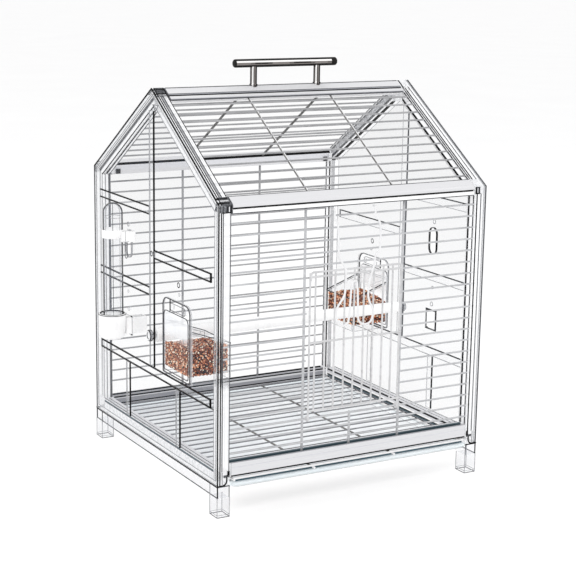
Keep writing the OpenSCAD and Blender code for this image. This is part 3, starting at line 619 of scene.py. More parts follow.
for side, name in ((-1, "left"), (1, "right")):
    s = 1 if side < 0 else -1   # the right gable is the left one turned half round
    holes = [tomb(-FY - PW / 2 - 0.5, -FY + PW / 2 + 0.5, FZ0 - 0.5, FZ1 + 0.5, 12.5),
             slotted(DY + 0.5, 280.2, 316.8, 16.6), circle(DY, 325, 2.5, 20), rect(DY - 10, DY + 10, 175, 200),
             circle(DY, 209.5, 2.5, 20), circle(DY + 1, 233.2, 1.6, 16), circle(0, ZFRONT, 2.5, 20),
             circle(-DY + 1, 272, 2.5, 20), circle(-DY - 1, 260, 1.6, 16), circle(0, 190, 4.3, 24)]
    X = lambda x: side * x
    sheet(name + "_field", flip2(gable(0.4), s), [flip2(h, s) for h in holes], X(XP + 2.7), X(XP), 0.3, "field", "side", "side", "cage",
          "clear_panel", (name + "_panel",))
    # raised rim all round
    rim = Shape()
    o_, i_ = gable(0.2), gable(6.0)
    for (g0, g1, x0, x1, key) in ((o_, i_, XP + 2.75, 194.7, "clear"),):
        loop_prism(rim, flip2(g0, s), flip2(g1, s), X(x0), X(x1), key)
    rim.build(name + "_rim", "cage", "clear_panel", bevel=0.25)
    # painted shade as dark lines: the outer corner, and the lines where the frame profile ends behind the sheet
    ar = Shape()

    def k_out(y, z):
        if side < 0:
            if z < ZB + 2:
                return "edge_soft"
            return "edge_mid" if (y > 150 and z < HE) else "edge"
        return "edge" if z < ZB + 2 else "edge_mid"

    def k_in(y, z):
        if side < 0 and y > 0 and z > HE:
            return "edge"
        return "edge_soft"
    def w_out(t):
        """The dark border is wider on the slopes than on the uprights."""
        (a0, z0), (a1, z1), (a2, z2), (a3, z3), (a4, z4) = gable(t)
        sl = gable(t * 1.25)
        y_ = D2 - t
        return [(a0, z0), (a1, z1), (y_, sl[3][1] - K * y_), (0, sl[3][1]), (-y_, sl[3][1] - K * y_)]
    loop_prism(ar, flip2(gable(-0.05), s), flip2(w_out(1.25), s), X(193.7), X(195.12), k_out)
    # painted shade: a dark line where the sheet meets its profile, on the outer side of the rim
    loop_prism(ar, flip2(gable(-0.12), s), flip2(gable(0.5), s), X(190.55), X(191.9), lambda y, z: ("edge" if (y < 0 and z > ZB + 2) else "clear") if side < 0 else "edge_soft")
    loop_prism(ar, flip2(gable(5.8), s), flip2(gable(6.2), s), X(193.4), X(194.75), "edge_soft")
    loop_prism(ar, flip2(gable(18.0), s), flip2(gable(19.5), s), X(190.3), X(190.8), k_in)
    # painted double line and painted shade on the land of the upper slopes, away from the doorway
    for t0, t1, kk_ in ((1.6, 5.1, "veil_s"), (5.1, 6.3, "edge"), (6.3, 7.9, "veil_s"), (7.9, 8.8, "edge_mid"), (8.8, 10.0, "groove"), (10.0, 11.3, "edge"), (11.3, 13.2, "groove"), (13.2, 17.9, "veil_s")):
        g0, g1 = gable(t0), gable(t1)
        q0, q1 = (g0[2], g0[3]), (g1[2], g1[3])
        pts = [q0[0], q0[1], q1[1], q1[0]]
        pts = [(y * s, z) for y, z in pts]
        ar.add([(X(XP + 0.25), y, z) for y, z in pts] + [(X(XP + 0.05), y, z) for y, z in pts],
               [[0, 1, 2, 3], [7, 6, 5, 4], [0, 1, 5, 4], [1, 2, 6, 5], [2, 3, 7, 6], [3, 0, 4, 7]], kk_)
    # the same painted lines and shade on the uprights
    for t0, t1, kk_ in ((2.6, 9.6, "veil_s"), (9.6, 10.8, "edge_soft"), (10.8, 12.6, "veil_s"), (12.6, 14.0, "edge_mid"), (14.0, 17.4, "veil_s"), (17.4, 18.8, "edge_soft")):
        y0_, y1_ = sorted(((D2 - t0) * s, (D2 - t1) * s))
        ar.box(*sorted((X(XP + 0.05), X(XP + 0.25))), y0_, y1_, ZB + 20, HE - 8, kk_)
    # painted shade: a dark ring round every small hole, and dark outlines of the slots
    for (cy, cz, r0_) in ((0, ZFRONT, 2.5), (-DY + 1, 272, 2.5), (-DY - 1, 260, 1.6), (DY, 325, 2.5), (DY, 209.5, 2.5), (DY + 1, 233.2, 1.6)):
        key_ = "edge" if cz in (ZFRONT, 272) else ("edge_mid" if (side > 0 or cz == 325) else "edge_soft")
        xx = 195.0 if cz == ZFRONT else XP + 2.75
        wr_ = 1.25 if key_ == "edge" else 0.7
        loop_prism(ar, flip2(circle(cy, cz, r0_ + wr_, 28), s), flip2(circle(cy, cz, r0_, 28), s), X(xx), X(xx + 0.25), key_)
    loop_prism(ar, flip2(slotted(DY + 0.5, 279.5, 317.5, 18.0), s), flip2(slotted(DY + 0.5, 280.2, 316.8, 16.6), s), X(XP), X(XP + 2.9), "edge" if side > 0 else "edge_soft")
    sq_ = 0.8 if side < 0 else 2.9
    loop_prism(ar, flip2(rect(DY - 10 - sq_, DY + 10 + sq_, 175 - sq_ * 0.7, 200 + sq_ * 0.7), s), flip2(rect(DY - 10, DY + 10, 175, 200), s), X(XP + 2.3), X(XP + 2.95), "edge" if side > 0 else "edge_soft")
    for zz_ in (174.2, 199.2):
        ar.box(*sorted((X(XP + 2.2), X(XP + 3.0))), *sorted((s * (DY - 10.9), s * (DY - 6.5))), zz_, zz_ + 1.6, "edge")
    ar.build(name + "_arris", "cage", "clear_panel")
    # battens, with their sides in painted edge shade
    y0 = D2 - 20
    g = 7.8
    bats = [("mid", rect(-7, 7, ZLOW + BW / 2 + 0.8, HR - 19 / CA - 6), "v"),
            ("top", rect(g, y0, ZTOP - BW / 2, ZTOP + BW / 2), "h"), ("rear", rect(g, y0, ZREAR - BW / 2, ZREAR + BW / 2), "h"),
            ("front", rect(-y0, -g, ZFRONT - BW / 2, ZFRONT + BW / 2), "h"), ("low", rect(-y0, y0, ZLOW - BW / 2, ZLOW + BW / 2), "h"),
            ("foot1", rect(-84, -72, ZB + 19, ZLOW - BW / 2 - 0.8), "v"), ("foot2", rect(72, 84, ZB + 19, ZLOW - BW / 2 - 0.8), "v")]
    for bn, pts, kind in bats:
        hl = []
        if bn == "mid":
            hl = [circle(0, ZFRONT, 2.5, 20), circle(0, 190, 4.3, 24)]

        sheet("%s_batten_%s" % (name, bn), flip2(pts, s), [flip2(h, s) for h in hl], X(XP + 2.75), X(195), 0.25, "clear", "edge_soft", "side", "cage",
              "clear_panel")
        # its outline: strips of painted shade, heavier on one side
        ol = Shape()
        (ya_, yb_), (za_, zb_) = (min(p[0] for p in pts), max(p[0] for p in pts)), (min(p[1] for p in pts), max(p[1] for p in pts))

        def strip(y0_, y1_, z0_, z1_, key_, deep=1.9):
            ol.box(*sorted((X(195.2 - deep), X(195.2))), *sorted((y0_ * s, y1_ * s)), z0_, z1_, key_)
        lw_ = 1.6 if side < 0 else 1.3
        if kind == "h":
            main_, other = "edge", ("edge" if side < 0 else "edge_soft")
            strip(ya_, yb_, zb_ - lw_, zb_ + 0.05, main_)
            strip(ya_, yb_, za_ - 0.05, za_ + (lw_ if side < 0 else 0.5), other)
            if bn in ("front", "low"):
                strip(ya_ - 0.05, ya_ + (2.4 if side < 0 else 0.8), za_, zb_, "edge" if side < 0 else "edge_mid")
            if bn == "low":
                strip(yb_ - 0.9, yb_ + 0.05, za_, zb_, "edge_mid")
            if side < 0 and bn in ("top", "rear"):
                strip(ya_, ya_ + 0.4, za_, zb_, "edge_soft")
        else:
            if side < 0:
                strip(ya_ - 0.05, ya_ + (lw_ if bn != "foot2" else 1.1), za_, zb_, "edge")
                strip(yb_ - 0.4, yb_ + 0.05, za_, zb_, "edge_soft")
            else:
                strip(yb_ - (1.3 if bn != "mid" else 0.9), yb_ + 0.05, za_, zb_, "edge" if bn != "mid" else "edge_mid")
        ol.build("%s_outline_%s" % (name, bn), "cage", "clear_panel")

# ------------------------------------------------------------------ gable frame profiles
SEC_L = [(190.45, 0.0), (189.3, 0.0), (188.6, 0.7), (187.6, 0.7), (185.4, 0.7), (184.4, 0.0), (179.8, 0.0), (178.6, 0.05), (178.05, 0.6), (178.0, 1.6),
         (178.0, 4.6), (178.4, 4.7), (178.4, 6.2), (178.0, 6.3), (178.0, 12.8), (178.4, 12.9), (178.4, 14.6), (178.0, 14.7),
         (178.05, 18.5), (178.6, 18.98), (180.4, 19.0), (182.0, 19.0), (183.4, 19.0), (185.6, 19.0), (186.8, 19.0), (190.45, 19.0)]
SEC_R = [(190.45, 0.0), (187.4, 0.0), (187.2, 0.5), (186.0, 0.5), (185.8, 0.0), (181.5, 0.0), (181.3, 0.5), (179.7, 0.5), (179.5, 0.0), (178.5, 0.05), (178.05, 0.4), (178.0, 1.9),
         (178.0, 3.3), (178.5, 3.4), (178.5, 5.5), (178.0, 5.6), (178.0, 12.4), (178.5, 12.5), (178.5, 15.8), (178.0, 15.9),
         (178.05, 18.5), (178.6, 18.98), (182.0, 19.0), (184.0, 19.0), (190.45, 19.0)]


def skeys(left, back, slope):
    """Painted shade lines of the profile: its seam and groove outside, its lands inside."""
    w_ = left and not back and not slope
    pr, ve, so = ("profile_w", "veil_w", "soft_w") if w_ else ("profile", "veil", "edge_soft")
    if left:
        mid = "edge" if slope else "edge_mid"
        return [pr, mid if slope else so, mid, "groove" if slope else pr, "edge_mid" if slope else pr, pr, "edge" if slope else "edge_mid", "edge" if slope else "edge_mid", so, pr,
                so, so, so, pr, so, so, so, pr,
                so, "edge_mid", "edge_mid" if not slope else ve, ve, "edge" if slope else ve, so, ve, ve]
    if back and slope:
        return [pr, "edge_mid", "edge_mid", "edge_mid", pr, "edge", "edge", "edge", pr, "edge_soft", "edge_mid", pr,
                "edge_mid", "edge_mid", "edge_mid", "painted_shade_dark_lite", "edge_mid", "edge_mid", "edge_mid", pr,
                "edge", "edge", "edge", ve, ve]
    return [pr, "edge_mid", "edge_mid", "edge_mid", pr, "edge", "edge", "edge", pr, "edge_soft" if slope else pr, "edge" if slope else pr, pr,
            "edge_mid", "edge", "edge_mid", pr, "edge", "edge", "edge", pr,
            "edge_mid" if slope else "edge_soft", "edge" if slope else "edge_soft", "edge" if slope else "edge_soft", ve, ve]


for sx, xn in ((-1, "left"), (1, "right")):
    for sy, yn in ((-1, "front"), (1, "back")):
        p = Shape()
        SEC = SEC_L if sx < 0 else SEC_R
        assert len(SEC) == len(skeys(sx < 0, sy > 0, True))
        p.sweep(SEC, lambda a, b: (sx * a, sy * (D2 - b), ZB + 18), lambda a, b: (sx * a, sy * (D2 - b), 380), skeys(sx < 0, sy > 0, False), "edge_mid")
        p.build("%s_%s_upright" % (xn, yn), "cage", "frame_profile", ("%s_%s_post" % (xn, yn),))
        r = Shape()

        def hi(a, b):
            return (sx * a, sy * 12.0, zo(12) - b / CA)

        def lo(a, b):
            z = zo(178) - b / CA
            if z < 380.2:
                y = (HR - b / CA - 380.2) / K
                return (sx * a, sy * y, 380.2)
            return (sx * a, sy * 178.0, z)
        r.sweep(SEC, lo, hi, skeys(sx < 0, sy > 0, True), "edge_mid")
        r.build("%s_%s_slope" % (xn, yn), "cage", "frame_profile", ("%s_%s_rafter" % (xn, yn),))

# ------------------------------------------------------------------ bottom profiles of the gables
for sx, xn in ((-1, "left"), (1, "right")):
    p = Shape()
    # painted tones on the faces of the section: dark lines and teal in the grooves are painted shade, white and pale
    # faces painted light
    sec = [(190.45, 41.1), (178, 41.1), (178, 42.3), (178.5, 42.4), (178.5, 45.2), (178, 45.3), (178, 46.6), (179.0, 47.0), (179.0, 49.4), (178, 49.8), (178, 50.9), (178.6, 51.1), (178.6, 53.4), (178, 53.6),
           (178, 56.6), (178.4, 57.2), (178.4, 58.4), (179, 59), (184.0, 59), (184.0, 58.2), (185.2, 58.2), (185.2, 59), (189.6, 59), (190.45, 58.4), (190.45, 56.9), (190.45, 54.8), (190.45, 53.9), (190.45, 47.0), (190.45, 42.4)]
    key = ["side", "edge", "alu_mid", "white", "edge", "edge", "alu_mid", "groove_shade", "alu_mid", "edge", "edge", "white", "edge_mid", "alu_side", "edge", "edge", "edge_mid",
           "alu_side", "edge_mid", "groove_shade", "edge_mid", "alu_side", "edge_mid", "veil", "groove_shade", "edge_mid", "white_gap", "white_gap", "veil"]
    p.sweep(sec, lambda a, b: (sx * a, -171, b), lambda a, b: (sx * a, 171, b), key, "edge_mid")
    p.build(xn + "_bottom_profile", "cage", "sill_profile", (xn + "_sill",))

# ------------------------------------------------------------------ aluminium bars
def bar(name, sec, keys, sy, slot, rep, x=XB - 0.3, body="cage"):
    p = Shape()
    p.sweep(sec, lambda a, b: (-x, sy * a, b), lambda a, b: (x, sy * a, b), keys, "alu_mid")
    return p.build(name, body, slot, rep, bevel=0.18)


def Q(s, d):
    y, z = P(s, d, 1)
    return (y, z)


# painted tones on the faces of each bar section: dark lines and teal in the grooves are painted shade, the white lip of
# the eave bars a painted highlight
ridge = [Q(0, 0), Q(1.9, 0), Q(12.6, 0), Q(13.8, 0), Q(14.9, 0.6), Q(14.9, 2.4), Q(16.9, 2.4), Q(16.9, 0.9), Q(17.1, 0.7), Q(20.2, 0.7), Q(22.4, 0.7), Q(23.5, 1.2), Q(23.5, 3.2), Q(17.4, 3.2), Q(17.4, 9), (0, HR - 20)]
rk = ["edge_mid", "alu", "edge_mid", "alu_mid", "edge", "edge", "edge_mid", "alu", "alu", "alu", "alu_mid", "edge_mid", "alu_mid", "alu", "alu"]
left = [(-a, b) for a, b in ridge[1:-1]][::-1]
assert len(rk) == len(ridge) - 1
bar("ridge_extrusion", ridge + left, rk + rk[::-1], 1, "satin_aluminium", ("ridge_bar",))
ST = 177.2 / CA
fe = [Q(ST, 0), Q(ST + 1.3, 0), (187.0, zo(187.0)), (188.6, zo(187.0) - 1.1), (189.7, HE - 0.9), (190, HE - 2.6), (190, 386.2), (189.4, 385.4), (187.2, 385.2), (187.2, 383.8), (189.0, 383.8),
      (189.4, 383.4), (189.4, 379.4), (189.2, 378.2), (187.2, 378.2), (187.2, 382.6), (179.8, 382.6), (179.8, 378.2), (Q(ST, 9)[0], 378.2), (Q(ST, 9)[0], 383.5), Q(ST, 9), Q(ST, 5.2)]
fek = ["edge_mid", "alu", "alu", "alu", "alu", "alu", "edge", "edge", "edge", "white", "white", "white", "edge_mid", "edge_mid", "alu_mid", "groove_shade", "alu_mid", "alu_mid", "alu", "alu_side", "edge", "alu"]
bar("front_eave_extrusion", fe, fek, -1, "satin_aluminium", ("front_eave_bar",))
bar("back_eave_extrusion", fe, fek, 1, "satin_aluminium", ("back_eave_bar",))


def sillsec(z):
    return [(189.6, z + 0.2), (190, z + 0.7), (190, z + 2.2), (190, z + 10.8), (189.5, z + 11.1), (189.5, z + 11.8), (190, z + 12.1), (190, z + 17.6), (189.6, z + 18),
            (187.2, z + 18), (187.2, z + 14), (179.8, z + 14), (179.8, z + 18), (176.4, z + 18), (173.6, z + 18), (171.9, z + 18), (171.5, z + 17.6), (171.5, z + 16.2), (171.5, z + 0.2)]


# the sill sections likewise: dark lines and teal in the grooves are painted shade
def sillkey(f):
    return ["edge", "edge", "alu", "alu_side", "alu_side", "alu", "alu", "alu_mid", "alu_mid", "edge", "groove_shade", "groove_shade", "groove_shade", "alu_side", "edge", "edge", "edge", "alu_mid", "edge"]


def backsill(z):
    return [(189.6, z + 1.2), (190, z + 1.6), (190, z + 17.6), (189.6, z + 18), (187.2, z + 18), (187.2, z + 14), (179.8, z + 14), (179.8, z + 18), (171.9, z + 18), (171.5, z + 17.4),
            (171.5, z + 15.8), (171.5, z + 14.6), (171.5, z + 8.6), (171.5, z + 6.6), (171.5, z + 0.2), (189, z + 0.2), (189, z + 1.2)]


bkeys = ["alu_mid", "alu", "alu", "alu", "edge", "groove_shade", "edge", "alu_mid", "edge", "edge", "alu_side", "alu_mid", "edge", "alu_side", "alu_mid", "edge", "edge"]
bar("front_sill_extrusion", sillsec(51), sillkey(1), -1, "satin_aluminium", ("front_sill_bar",))
bar("back_sill_extrusion", backsill(41), bkeys, 1, "satin_aluminium", ("back_sill_bar",))

# ------------------------------------------------------------------ wires
def grille(name, body, rep, fill, slot="wire"):
    sh = Shape()
    fill(sh)
    return sh.build(name, body, slot, (rep,))


XE = 185.5


def front(sh):
    for i in range(20):
        z = WTOP - i * PITCH
        if 4 < i < 17:
            sh.tube([(-XE, -WY, z), (-70.4, -WY, z)], 1.2, "wire")
            sh.tube([(70.4, -WY, z), (XE, -WY, z)], 1.2, "wire")
        else:
            sh.tube([(-XE, -WY, z), (XE, -WY, z)], 1.2, "wire")
    for x in (-72, 72):
        sh.tube([(x, -182.6, 66), (x, -182.6, 382)], 1.6, "wire")
    sh.tube([(-2.5, -182.6, 66), (-2.5, -182.6, HINGE_Z + 1)], 1.6, "wire")


def back(sh):
    for i in range(20):
        z = WTOP - i * PITCH
        sh.tube([(-XE, WY, z), (XE, WY, z)], 1.2, "wire_back")
    for x in (-62.5, 62.5):
        sh.tube([(x, 182.6, 56), (x, 182.6, 382)], 1.6, "wire_back")


def roof(side, y0, n):
    def fill(sh):
        for i in range(n):
            y = y0 + i * 14.1
            z = HR - K * y - 5 / CA
            sh.tube([(-XE, side * y, z), (XE, side * y, z)], 1.2, "wire_back")
        for x in (-62, 62):
            a = P(17.4, 6.3, side)
            b = P(ST, 6.3, side)
            sh.tube([(x, a[0], a[1]), (x, b[0], b[1])], 1.5 if side < 0 else 1.65, "wire_brown" if side < 0 else "wire_zig")
            if side < 0:
                # painted highlight: a thin white wire along the outer side of the slanting wire stands for its lit side
                a, b = P(17.4, 5.2, side), P(ST, 5.2, side)
                sh.tube([(x, a[0], a[1]), (x, b[0], b[1])], 0.72, "wire_white")
    return fill


grille("front_wires", "cage", "front_grille", front)
grille("back_wires", "cage", "back_grille", back)
grille("front_roof_wires", "cage", "front_roof_grille", roof(-1, 23.4, 11))
grille("back_roof_wires", "cage", "back_roof_grille", roof(1, 30.2, 10))


def grate(sh):
    for i in range(20):
        y = -173 + i * 17.7
        sh.tube([(-173.2, y, 48.9), (173.2, y, 48.9)], 1.0, "wire_dark")
    # lit and shaded copies of one wire: the front wire, its stubs and the outer wires in the light white paint, the
    # inner wires in the shaded paint
    sh.tube([(-173.2, -191.6, 49), (173.2, -191.6, 49)], 1.3, "wire_white")
    for x in (-172, -60, 60, 172):
        sh.tube([(x, -195 if abs(x) < 100 else -191.6, 46.9), (x, 165, 46.9)], 1.3, "wire_white" if abs(x) > 100 else "wire_brown")
    for x in (-60, 60):
        sh.tube([(x, -195.6, 46.9), (x, -190.4, 46.9)], 1.42, "wire_white")
    # painted shadow: a dark strip under the front wire, where the gap between grate and tray lip lies in shade
    sh.box(-171, 171, -190.9, -190.2, 45.4, 47.9, "navy")


grille("grate_wires", "floor_grate", "floor_grate", grate)


def door(sh):
    # side wires end in eyes round the hinge bar
    for sgn in (-1, 1):
        x = sgn * 66.8
        eye = [(x, -WY + HINGE_R * math.sin(math.radians(a)), HINGE_Z + HINGE_R * math.cos(math.radians(a))) for a in range(20, 290, 18)]
        eye = [(x, -WY - HINGE_R * math.sin(math.radians(a)), HINGE_Z + HINGE_R * math.cos(math.radians(a))) for a in range(0, 0, 1)] + eye
        ring = [(x, -DOOR_Y, 296.5), (x, -DOOR_Y, HINGE_Z + 0.4)]
        loop = [(x, -WY - HINGE_R * math.cos(math.radians(a)), HINGE_Z - HINGE_R * math.sin(math.radians(a))) for a in range(12, 325, 14)]
        sh.tube(ring + loop, 1.25, "wire_door", 12)
    for i in range(-4, 5):
        x = -2.2 + i * 14.2
        sh.tube([(x, -DOOR_Y, 120.6), (x, -DOOR_Y, 298)], 1.2, "wire_door")
    for z in (120.6, 208.8, 292.3):
        sh.tube([(-67.6, -DOOR_Y - 2, z), (67.6, -DOOR_Y - 2, z)], 1.3, "wire_door")
    # upper rail, bent down at both ends
    pts = [(-66.8, -DOOR_Y - 2, 288)] + [(-62.8 + 4 * math.cos(math.radians(a)), -DOOR_Y - 2, 294 + 4 * math.sin(math.radians(a))) for a in range(180, 89, -15)]
    pts += [(62.8 + 4 * math.cos(math.radians(a)), -DOOR_Y - 2, 294 + 4 * math.sin(math.radians(a))) for a in range(90, -1, -15)] + [(66.8, -DOOR_Y - 2, 288)]
    sh.tube(pts, 1.3, "wire_door")


grille("door_wires", "door", "door", door)


def smooth_path(pts, n=5):
    """Catmull-Rom through pts."""
    q = [np.array(p, float) for p in pts]
    q = [2 * q[0] - q[1]] + q + [2 * q[-1] - q[-2]]
    out = []
    for i in range(1, len(q) - 2):
        for j in range(n):
            t = j / n
            a, b, c, d = q[i - 1], q[i], q[i + 1], q[i + 2]
            out.append(0.5 * ((2 * b) + (c - a) * t + (2 * a - 5 * b + 4 * c - d) * t * t + (3 * b - a - 3 * c + d) * t ** 3))
    out.append(q[-2])
    return out


LP = [(-36.4, 376.1), (-36.2, 363), (-31.6, 356), (-29.2, 316), (-24.6, 308), (-18.6, 297.5), (-18.8, 272),
      (-22, 262), (-30.3, 250), (-31.5, 238), (-28.5, 229.5), (-22.4, 226), (-15.5, 228.5), (-12.4, 236),
      (-10.9, 258.6), (-9.3, 279), (-5.4, 282.4), (-1.6, 279), (0.1, 257.6), (0.7, 237), (3.6, 229), (9.5, 225.8),
      (17.2, 226.4), (22, 232.5), (22.7, 244), (17.9, 253.2), (15.2, 263), (17, 281.6), (22.4, 299), (24.9, 313),
      (31.3, 322.5), (29.6, 354.4), (23.4, 362.4), (22.9, 376.1)]
LY = -DOOR_Y - 2 - 2.9
clip = Shape()
path = [(LP[0][0], -187.6, 375.0), (LP[0][0], LY + 1.5, 375.4)] + [(p[0], LY, p[1]) for p in smooth_path([(a, b) for a, b in LP], 4)][1:-1] + [(LP[-1][0], LY + 1.5, 375.4), (LP[-1][0], -187.6, 375.0)]
clip.tube(path, 1.3, "wire_white", 12)
clip.build("clip_wire", "latch", "white_wire", ("latch",))

# ------------------------------------------------------------------ moulded corner joints and plugs keep their CAD shape
# on the left joints the eave faces toward the front, and the ridge faces on top or inside, take the dark paint as
# painted shade; the right joints stay clear
for n, k1, k2 in (("eave_connectors", "clear_joint", "smoke"), ("ridge_connectors", "clear_joint", "smoke"), ("sill_connectors", "clear_joint", "clear_joint"), ("bar_plugs", "black", "black")):
    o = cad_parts[n]
    o.data.materials.clear()
    o.data.materials.append(M[k1])
    o.data.materials.append(M[k2])
    for f_ in o.data.polygons:
        c_ = o.matrix_world @ f_.center
        f_.material_index = int((n == "eave_connectors" and c_.x < 0 and f_.normal.y < -0.5) or (n == "ridge_connectors" and c_.x < 0 and (f_.normal.z > 0.4 or abs(c_.x) < 0.1779)))
    if n != "bar_plugs":
        o.visible_shadow = False
        o.visible_diffuse = False
# ribs, screw seats and painted shade in the corners of the joints
jt = Shape()
for sx in (-1, 1):
    for sy in (-1, 1):
        # eave joint: ribs on its outer face, painted shade on the face and its lower edge, and the sleeve at the end of
        # the bar
        jt.box(*sorted((sx * 184.8, sx * 178.2)), *sorted((sy * 190.02, sy * 190.35)), 380.8, 389.4, "smoke", 0.12)
        for k_, kx_ in enumerate((183.9, 181.6, 179.6)):
            jt.box(*sorted((sx * kx_, sx * (kx_ - 1.0))), *sorted((sy * 190.02, sy * 190.55)), 381.6, 388.6 - k_ * 0.8, "white_gap" if k_ == 1 else "edge", 0.15)
        if sx < 0:
            jt.box(-194.9, -185.2, *sorted((sy * 190.02, sy * 190.4)), 380.6, 389.6, "smoke_mid", 0.15)
            for kx_ in (-193.2, -189.6):
                jt.box(kx_, kx_ + 1.1, *sorted((sy * 190.02, sy * 190.6)), 381.4, 388.6, "edge_mid", 0.15)
        jt.box(*sorted((sx * (190.3 if sx < 0 else 185.4), sx * 178.1)), *sorted((sy * 189.8, sy * 190.45)), 380.0, 381.3, "edge")
        jt.box(*sorted((sx * 179.4, sx * 177.9)), *sorted((sy * 189.6, sy * 190.35)), 380.1, 389.4, "edge")
        for k_ in range(3):
            y0_, y1_ = 179.5 + k_ * 3.4, 181.2 + k_ * 3.4
            z0_, z1_ = zo(y0_) + 0.12, zo(y1_) + 0.12
            x0_, x1_ = sorted((sx * (194.6 if sx < 0 else 186.4), sx * 179.0))
            q_ = [(y0_ * sy, z0_), (y1_ * sy, z1_), (y1_ * sy, z1_ - 0.6), (y0_ * sy, z0_ - 0.6)]
            jt.add([(x0_, *v_) for v_ in q_] + [(x1_, *v_) for v_ in q_], [[0, 1, 2, 3], [7, 6, 5, 4], [0, 1, 5, 4], [1, 2, 6, 5], [2, 3, 7, 6], [3, 0, 4, 7]], ("edge" if k_ != 1 else "clear_joint") if sx < 0 else "clear_joint")
        jt.box(*sorted((sx * 178.4, sx * 172.6)), *sorted((sy * 171.0, sy * 170.5)), 380.0, 390.6, "clear_joint", 0.15)
        jt.box(*sorted((sx * 189.6, sx * 179.6)), *sorted((sy * 171.0, sy * 170.6)), 380.4, 389.8, "smoke_mid", 0.15)
        for kx_ in (188.4, 184.6, 181.0):
            jt.box(*sorted((sx * kx_, sx * (kx_ - 1.5))), *sorted((sy * 170.7, sy * 170.3)), 379.6, 390.4, "edge")
        # sill joint: a clear block with painted shade on its seat and a curved dark line of painted shade at its lower
        # corner
        zb_ = 51 if sy < 0 else 41
        jt.box(*sorted((sx * 186.5, sx * 178.2)), *sorted((sy * 190.05, sy * 190.5)), zb_ + 0.6, zb_ + 3.8, "smoke", 0.2)
        jt.box(*sorted((sx * 181.4, sx * 178.0)), *sorted((sy * 190.05, sy * 190.6)), zb_ + 2.6, zb_ + 8.6, "edge", 0.2)
        jt.box(*sorted((sx * 188.6, sx * 187.6)), *sorted((sy * 190.05, sy * 190.4)), 43, 58.5, "edge_soft")
        pts_ = [(sx * 195.0, sy * 190.3, 41.4)] + [(sx * (188 - 6 * math.sin(math.radians(a_))), sy * 190.3, 47.6 - 6 * math.cos(math.radians(a_))) for a_ in range(0, 91, 15)] + [(sx * 182, sy * 190.3, 51.5)]
        jt.tube(pts_, 0.9, "edge", 8)
    # ridge joint: top cap with ribs, the ribs of the left joints painted dark as shade
    for k_ in range(4):
        for sy in (-1, 1):
            a_ = P(3 + k_ * 4.2, -0.05, sy)
            b_ = P(5 + k_ * 4.2, -0.05, sy)
            c_ = P(5 + k_ * 4.2, 0.8, sy)
            d_ = P(3 + k_ * 4.2, 0.8, sy)
            kk_ = ("smoke" if k_ % 2 else "edge") if sx < 0 else "clear_joint"
            x0_, x1_ = sorted((sx * (194.6 if sx < 0 else 183.0), sx * 179.2))
            jt.add([(x0_, *a_), (x0_, *b_), (x0_, *c_), (x0_, *d_), (x1_, *a_), (x1_, *b_), (x1_, *c_), (x1_, *d_)],
                   [[0, 1, 2, 3], [7, 6, 5, 4], [0, 1, 5, 4], [1, 2, 6, 5], [2, 3, 7, 6], [3, 0, 4, 7]], kk_)
    # painted shade in the seam where the ridge bar meets the rafters
    for sy in (-1, 1):
        q_ = [P(0.6, -0.1, sy), P(17.0, -0.1, sy), P(17.0, 0.5, sy), P(0.6, 0.5, sy)]
        x0_, x1_ = sorted((sx * 179.4, sx * 177.7))
        jt.add([(x0_, *v_) for v_ in q_] + [(x1_, *v_) for v_ in q_], [[0, 1, 2, 3], [7, 6, 5, 4], [0, 1, 5, 4], [1, 2, 6, 5], [2, 3, 7, 6], [3, 0, 4, 7]], "edge")
    # small hanger moulded at the top of the gable
    X = lambda x: sx * x
    tri = [(-5.5, 491.6), (-21.5, 491.6), (-13.5, 483.5)] if sx < 0 else [(21.5, 491.6), (5.5, 491.6), (13.5, 483.5)]
    jt.tube([(X(195.15), *tri[0]), (X(195.15), *tri[1]), (X(195.15), *tri[2]), (X(195.15), *tri[0])], 0.45, "edge_mid", 8)
    jt.tube([(X(195.15), *tri[2]), (X(195.15), tri[2][0], 479.6)], 0.45, "edge_mid", 8)
jt.build("joint_details", "cage", "black_plastic")

# ------------------------------------------------------------------ clear base
for sx, xn in ((-1, "left"), (1, "right")):
    b = Shape()
    xo, xi = 195, 178
    b.box(*sorted((sx * xo, sx * xi)), -190, 190, 26, 41, "base", 0.5)
    b.build(xn + "_rail", "cage", "clear_base", (xn + "_base_rail",))
    e = Shape()
    # painted shade: dark lines along the edges and ends of the rail
    e.box(*sorted((sx * 195.2, sx * 194.1)), -190.1, 190.1, 39.6, 41.4, "edge")
    e.box(*sorted((sx * 195.15, sx * 194.3)), -190.1, 190.1, 25.95, 27.0, "edge_mid")
    e.box(*sorted((sx * 178.6, sx * 177.9)), -189, 189, 40.2, 41.05, "edge_mid")
    for y in (-1, 1):
        e.box(*sorted((sx * 195.1, sx * 193.7)), *sorted((y * 190.15, y * 189.2)), 26, 41, "edge")
        e.box(*sorted((sx * 178.9, sx * 177.9)), *sorted((y * 190.1, y * 189.6)), 26, 41, "edge_mid")
        e.box(*sorted((sx * 195.1, sx * 177.9)), *sorted((y * 190.15, y * 189.2)), 39.7, 41.3, "edge" if (sx > 0) == (y < 0) else "edge_mid")
    for y in (-170.0, 170.0):
        e.box(*sorted((sx * 195.15, sx * 194.6)), y - 0.8, y + 0.8, 26, 40, "edge" if y > 0 else "edge_soft")
    e.build(xn + "_rail_arris", "cage", "clear_base")
    l = Shape()
    l.box(*sorted((sx * 177.9, sx * 170.6)), -168, 168, 35.3, 38.2, "base", 0.3)
    l.build(xn + "_ledge", "cage", "clear_base")
ft = Shape()
fa = Shape()
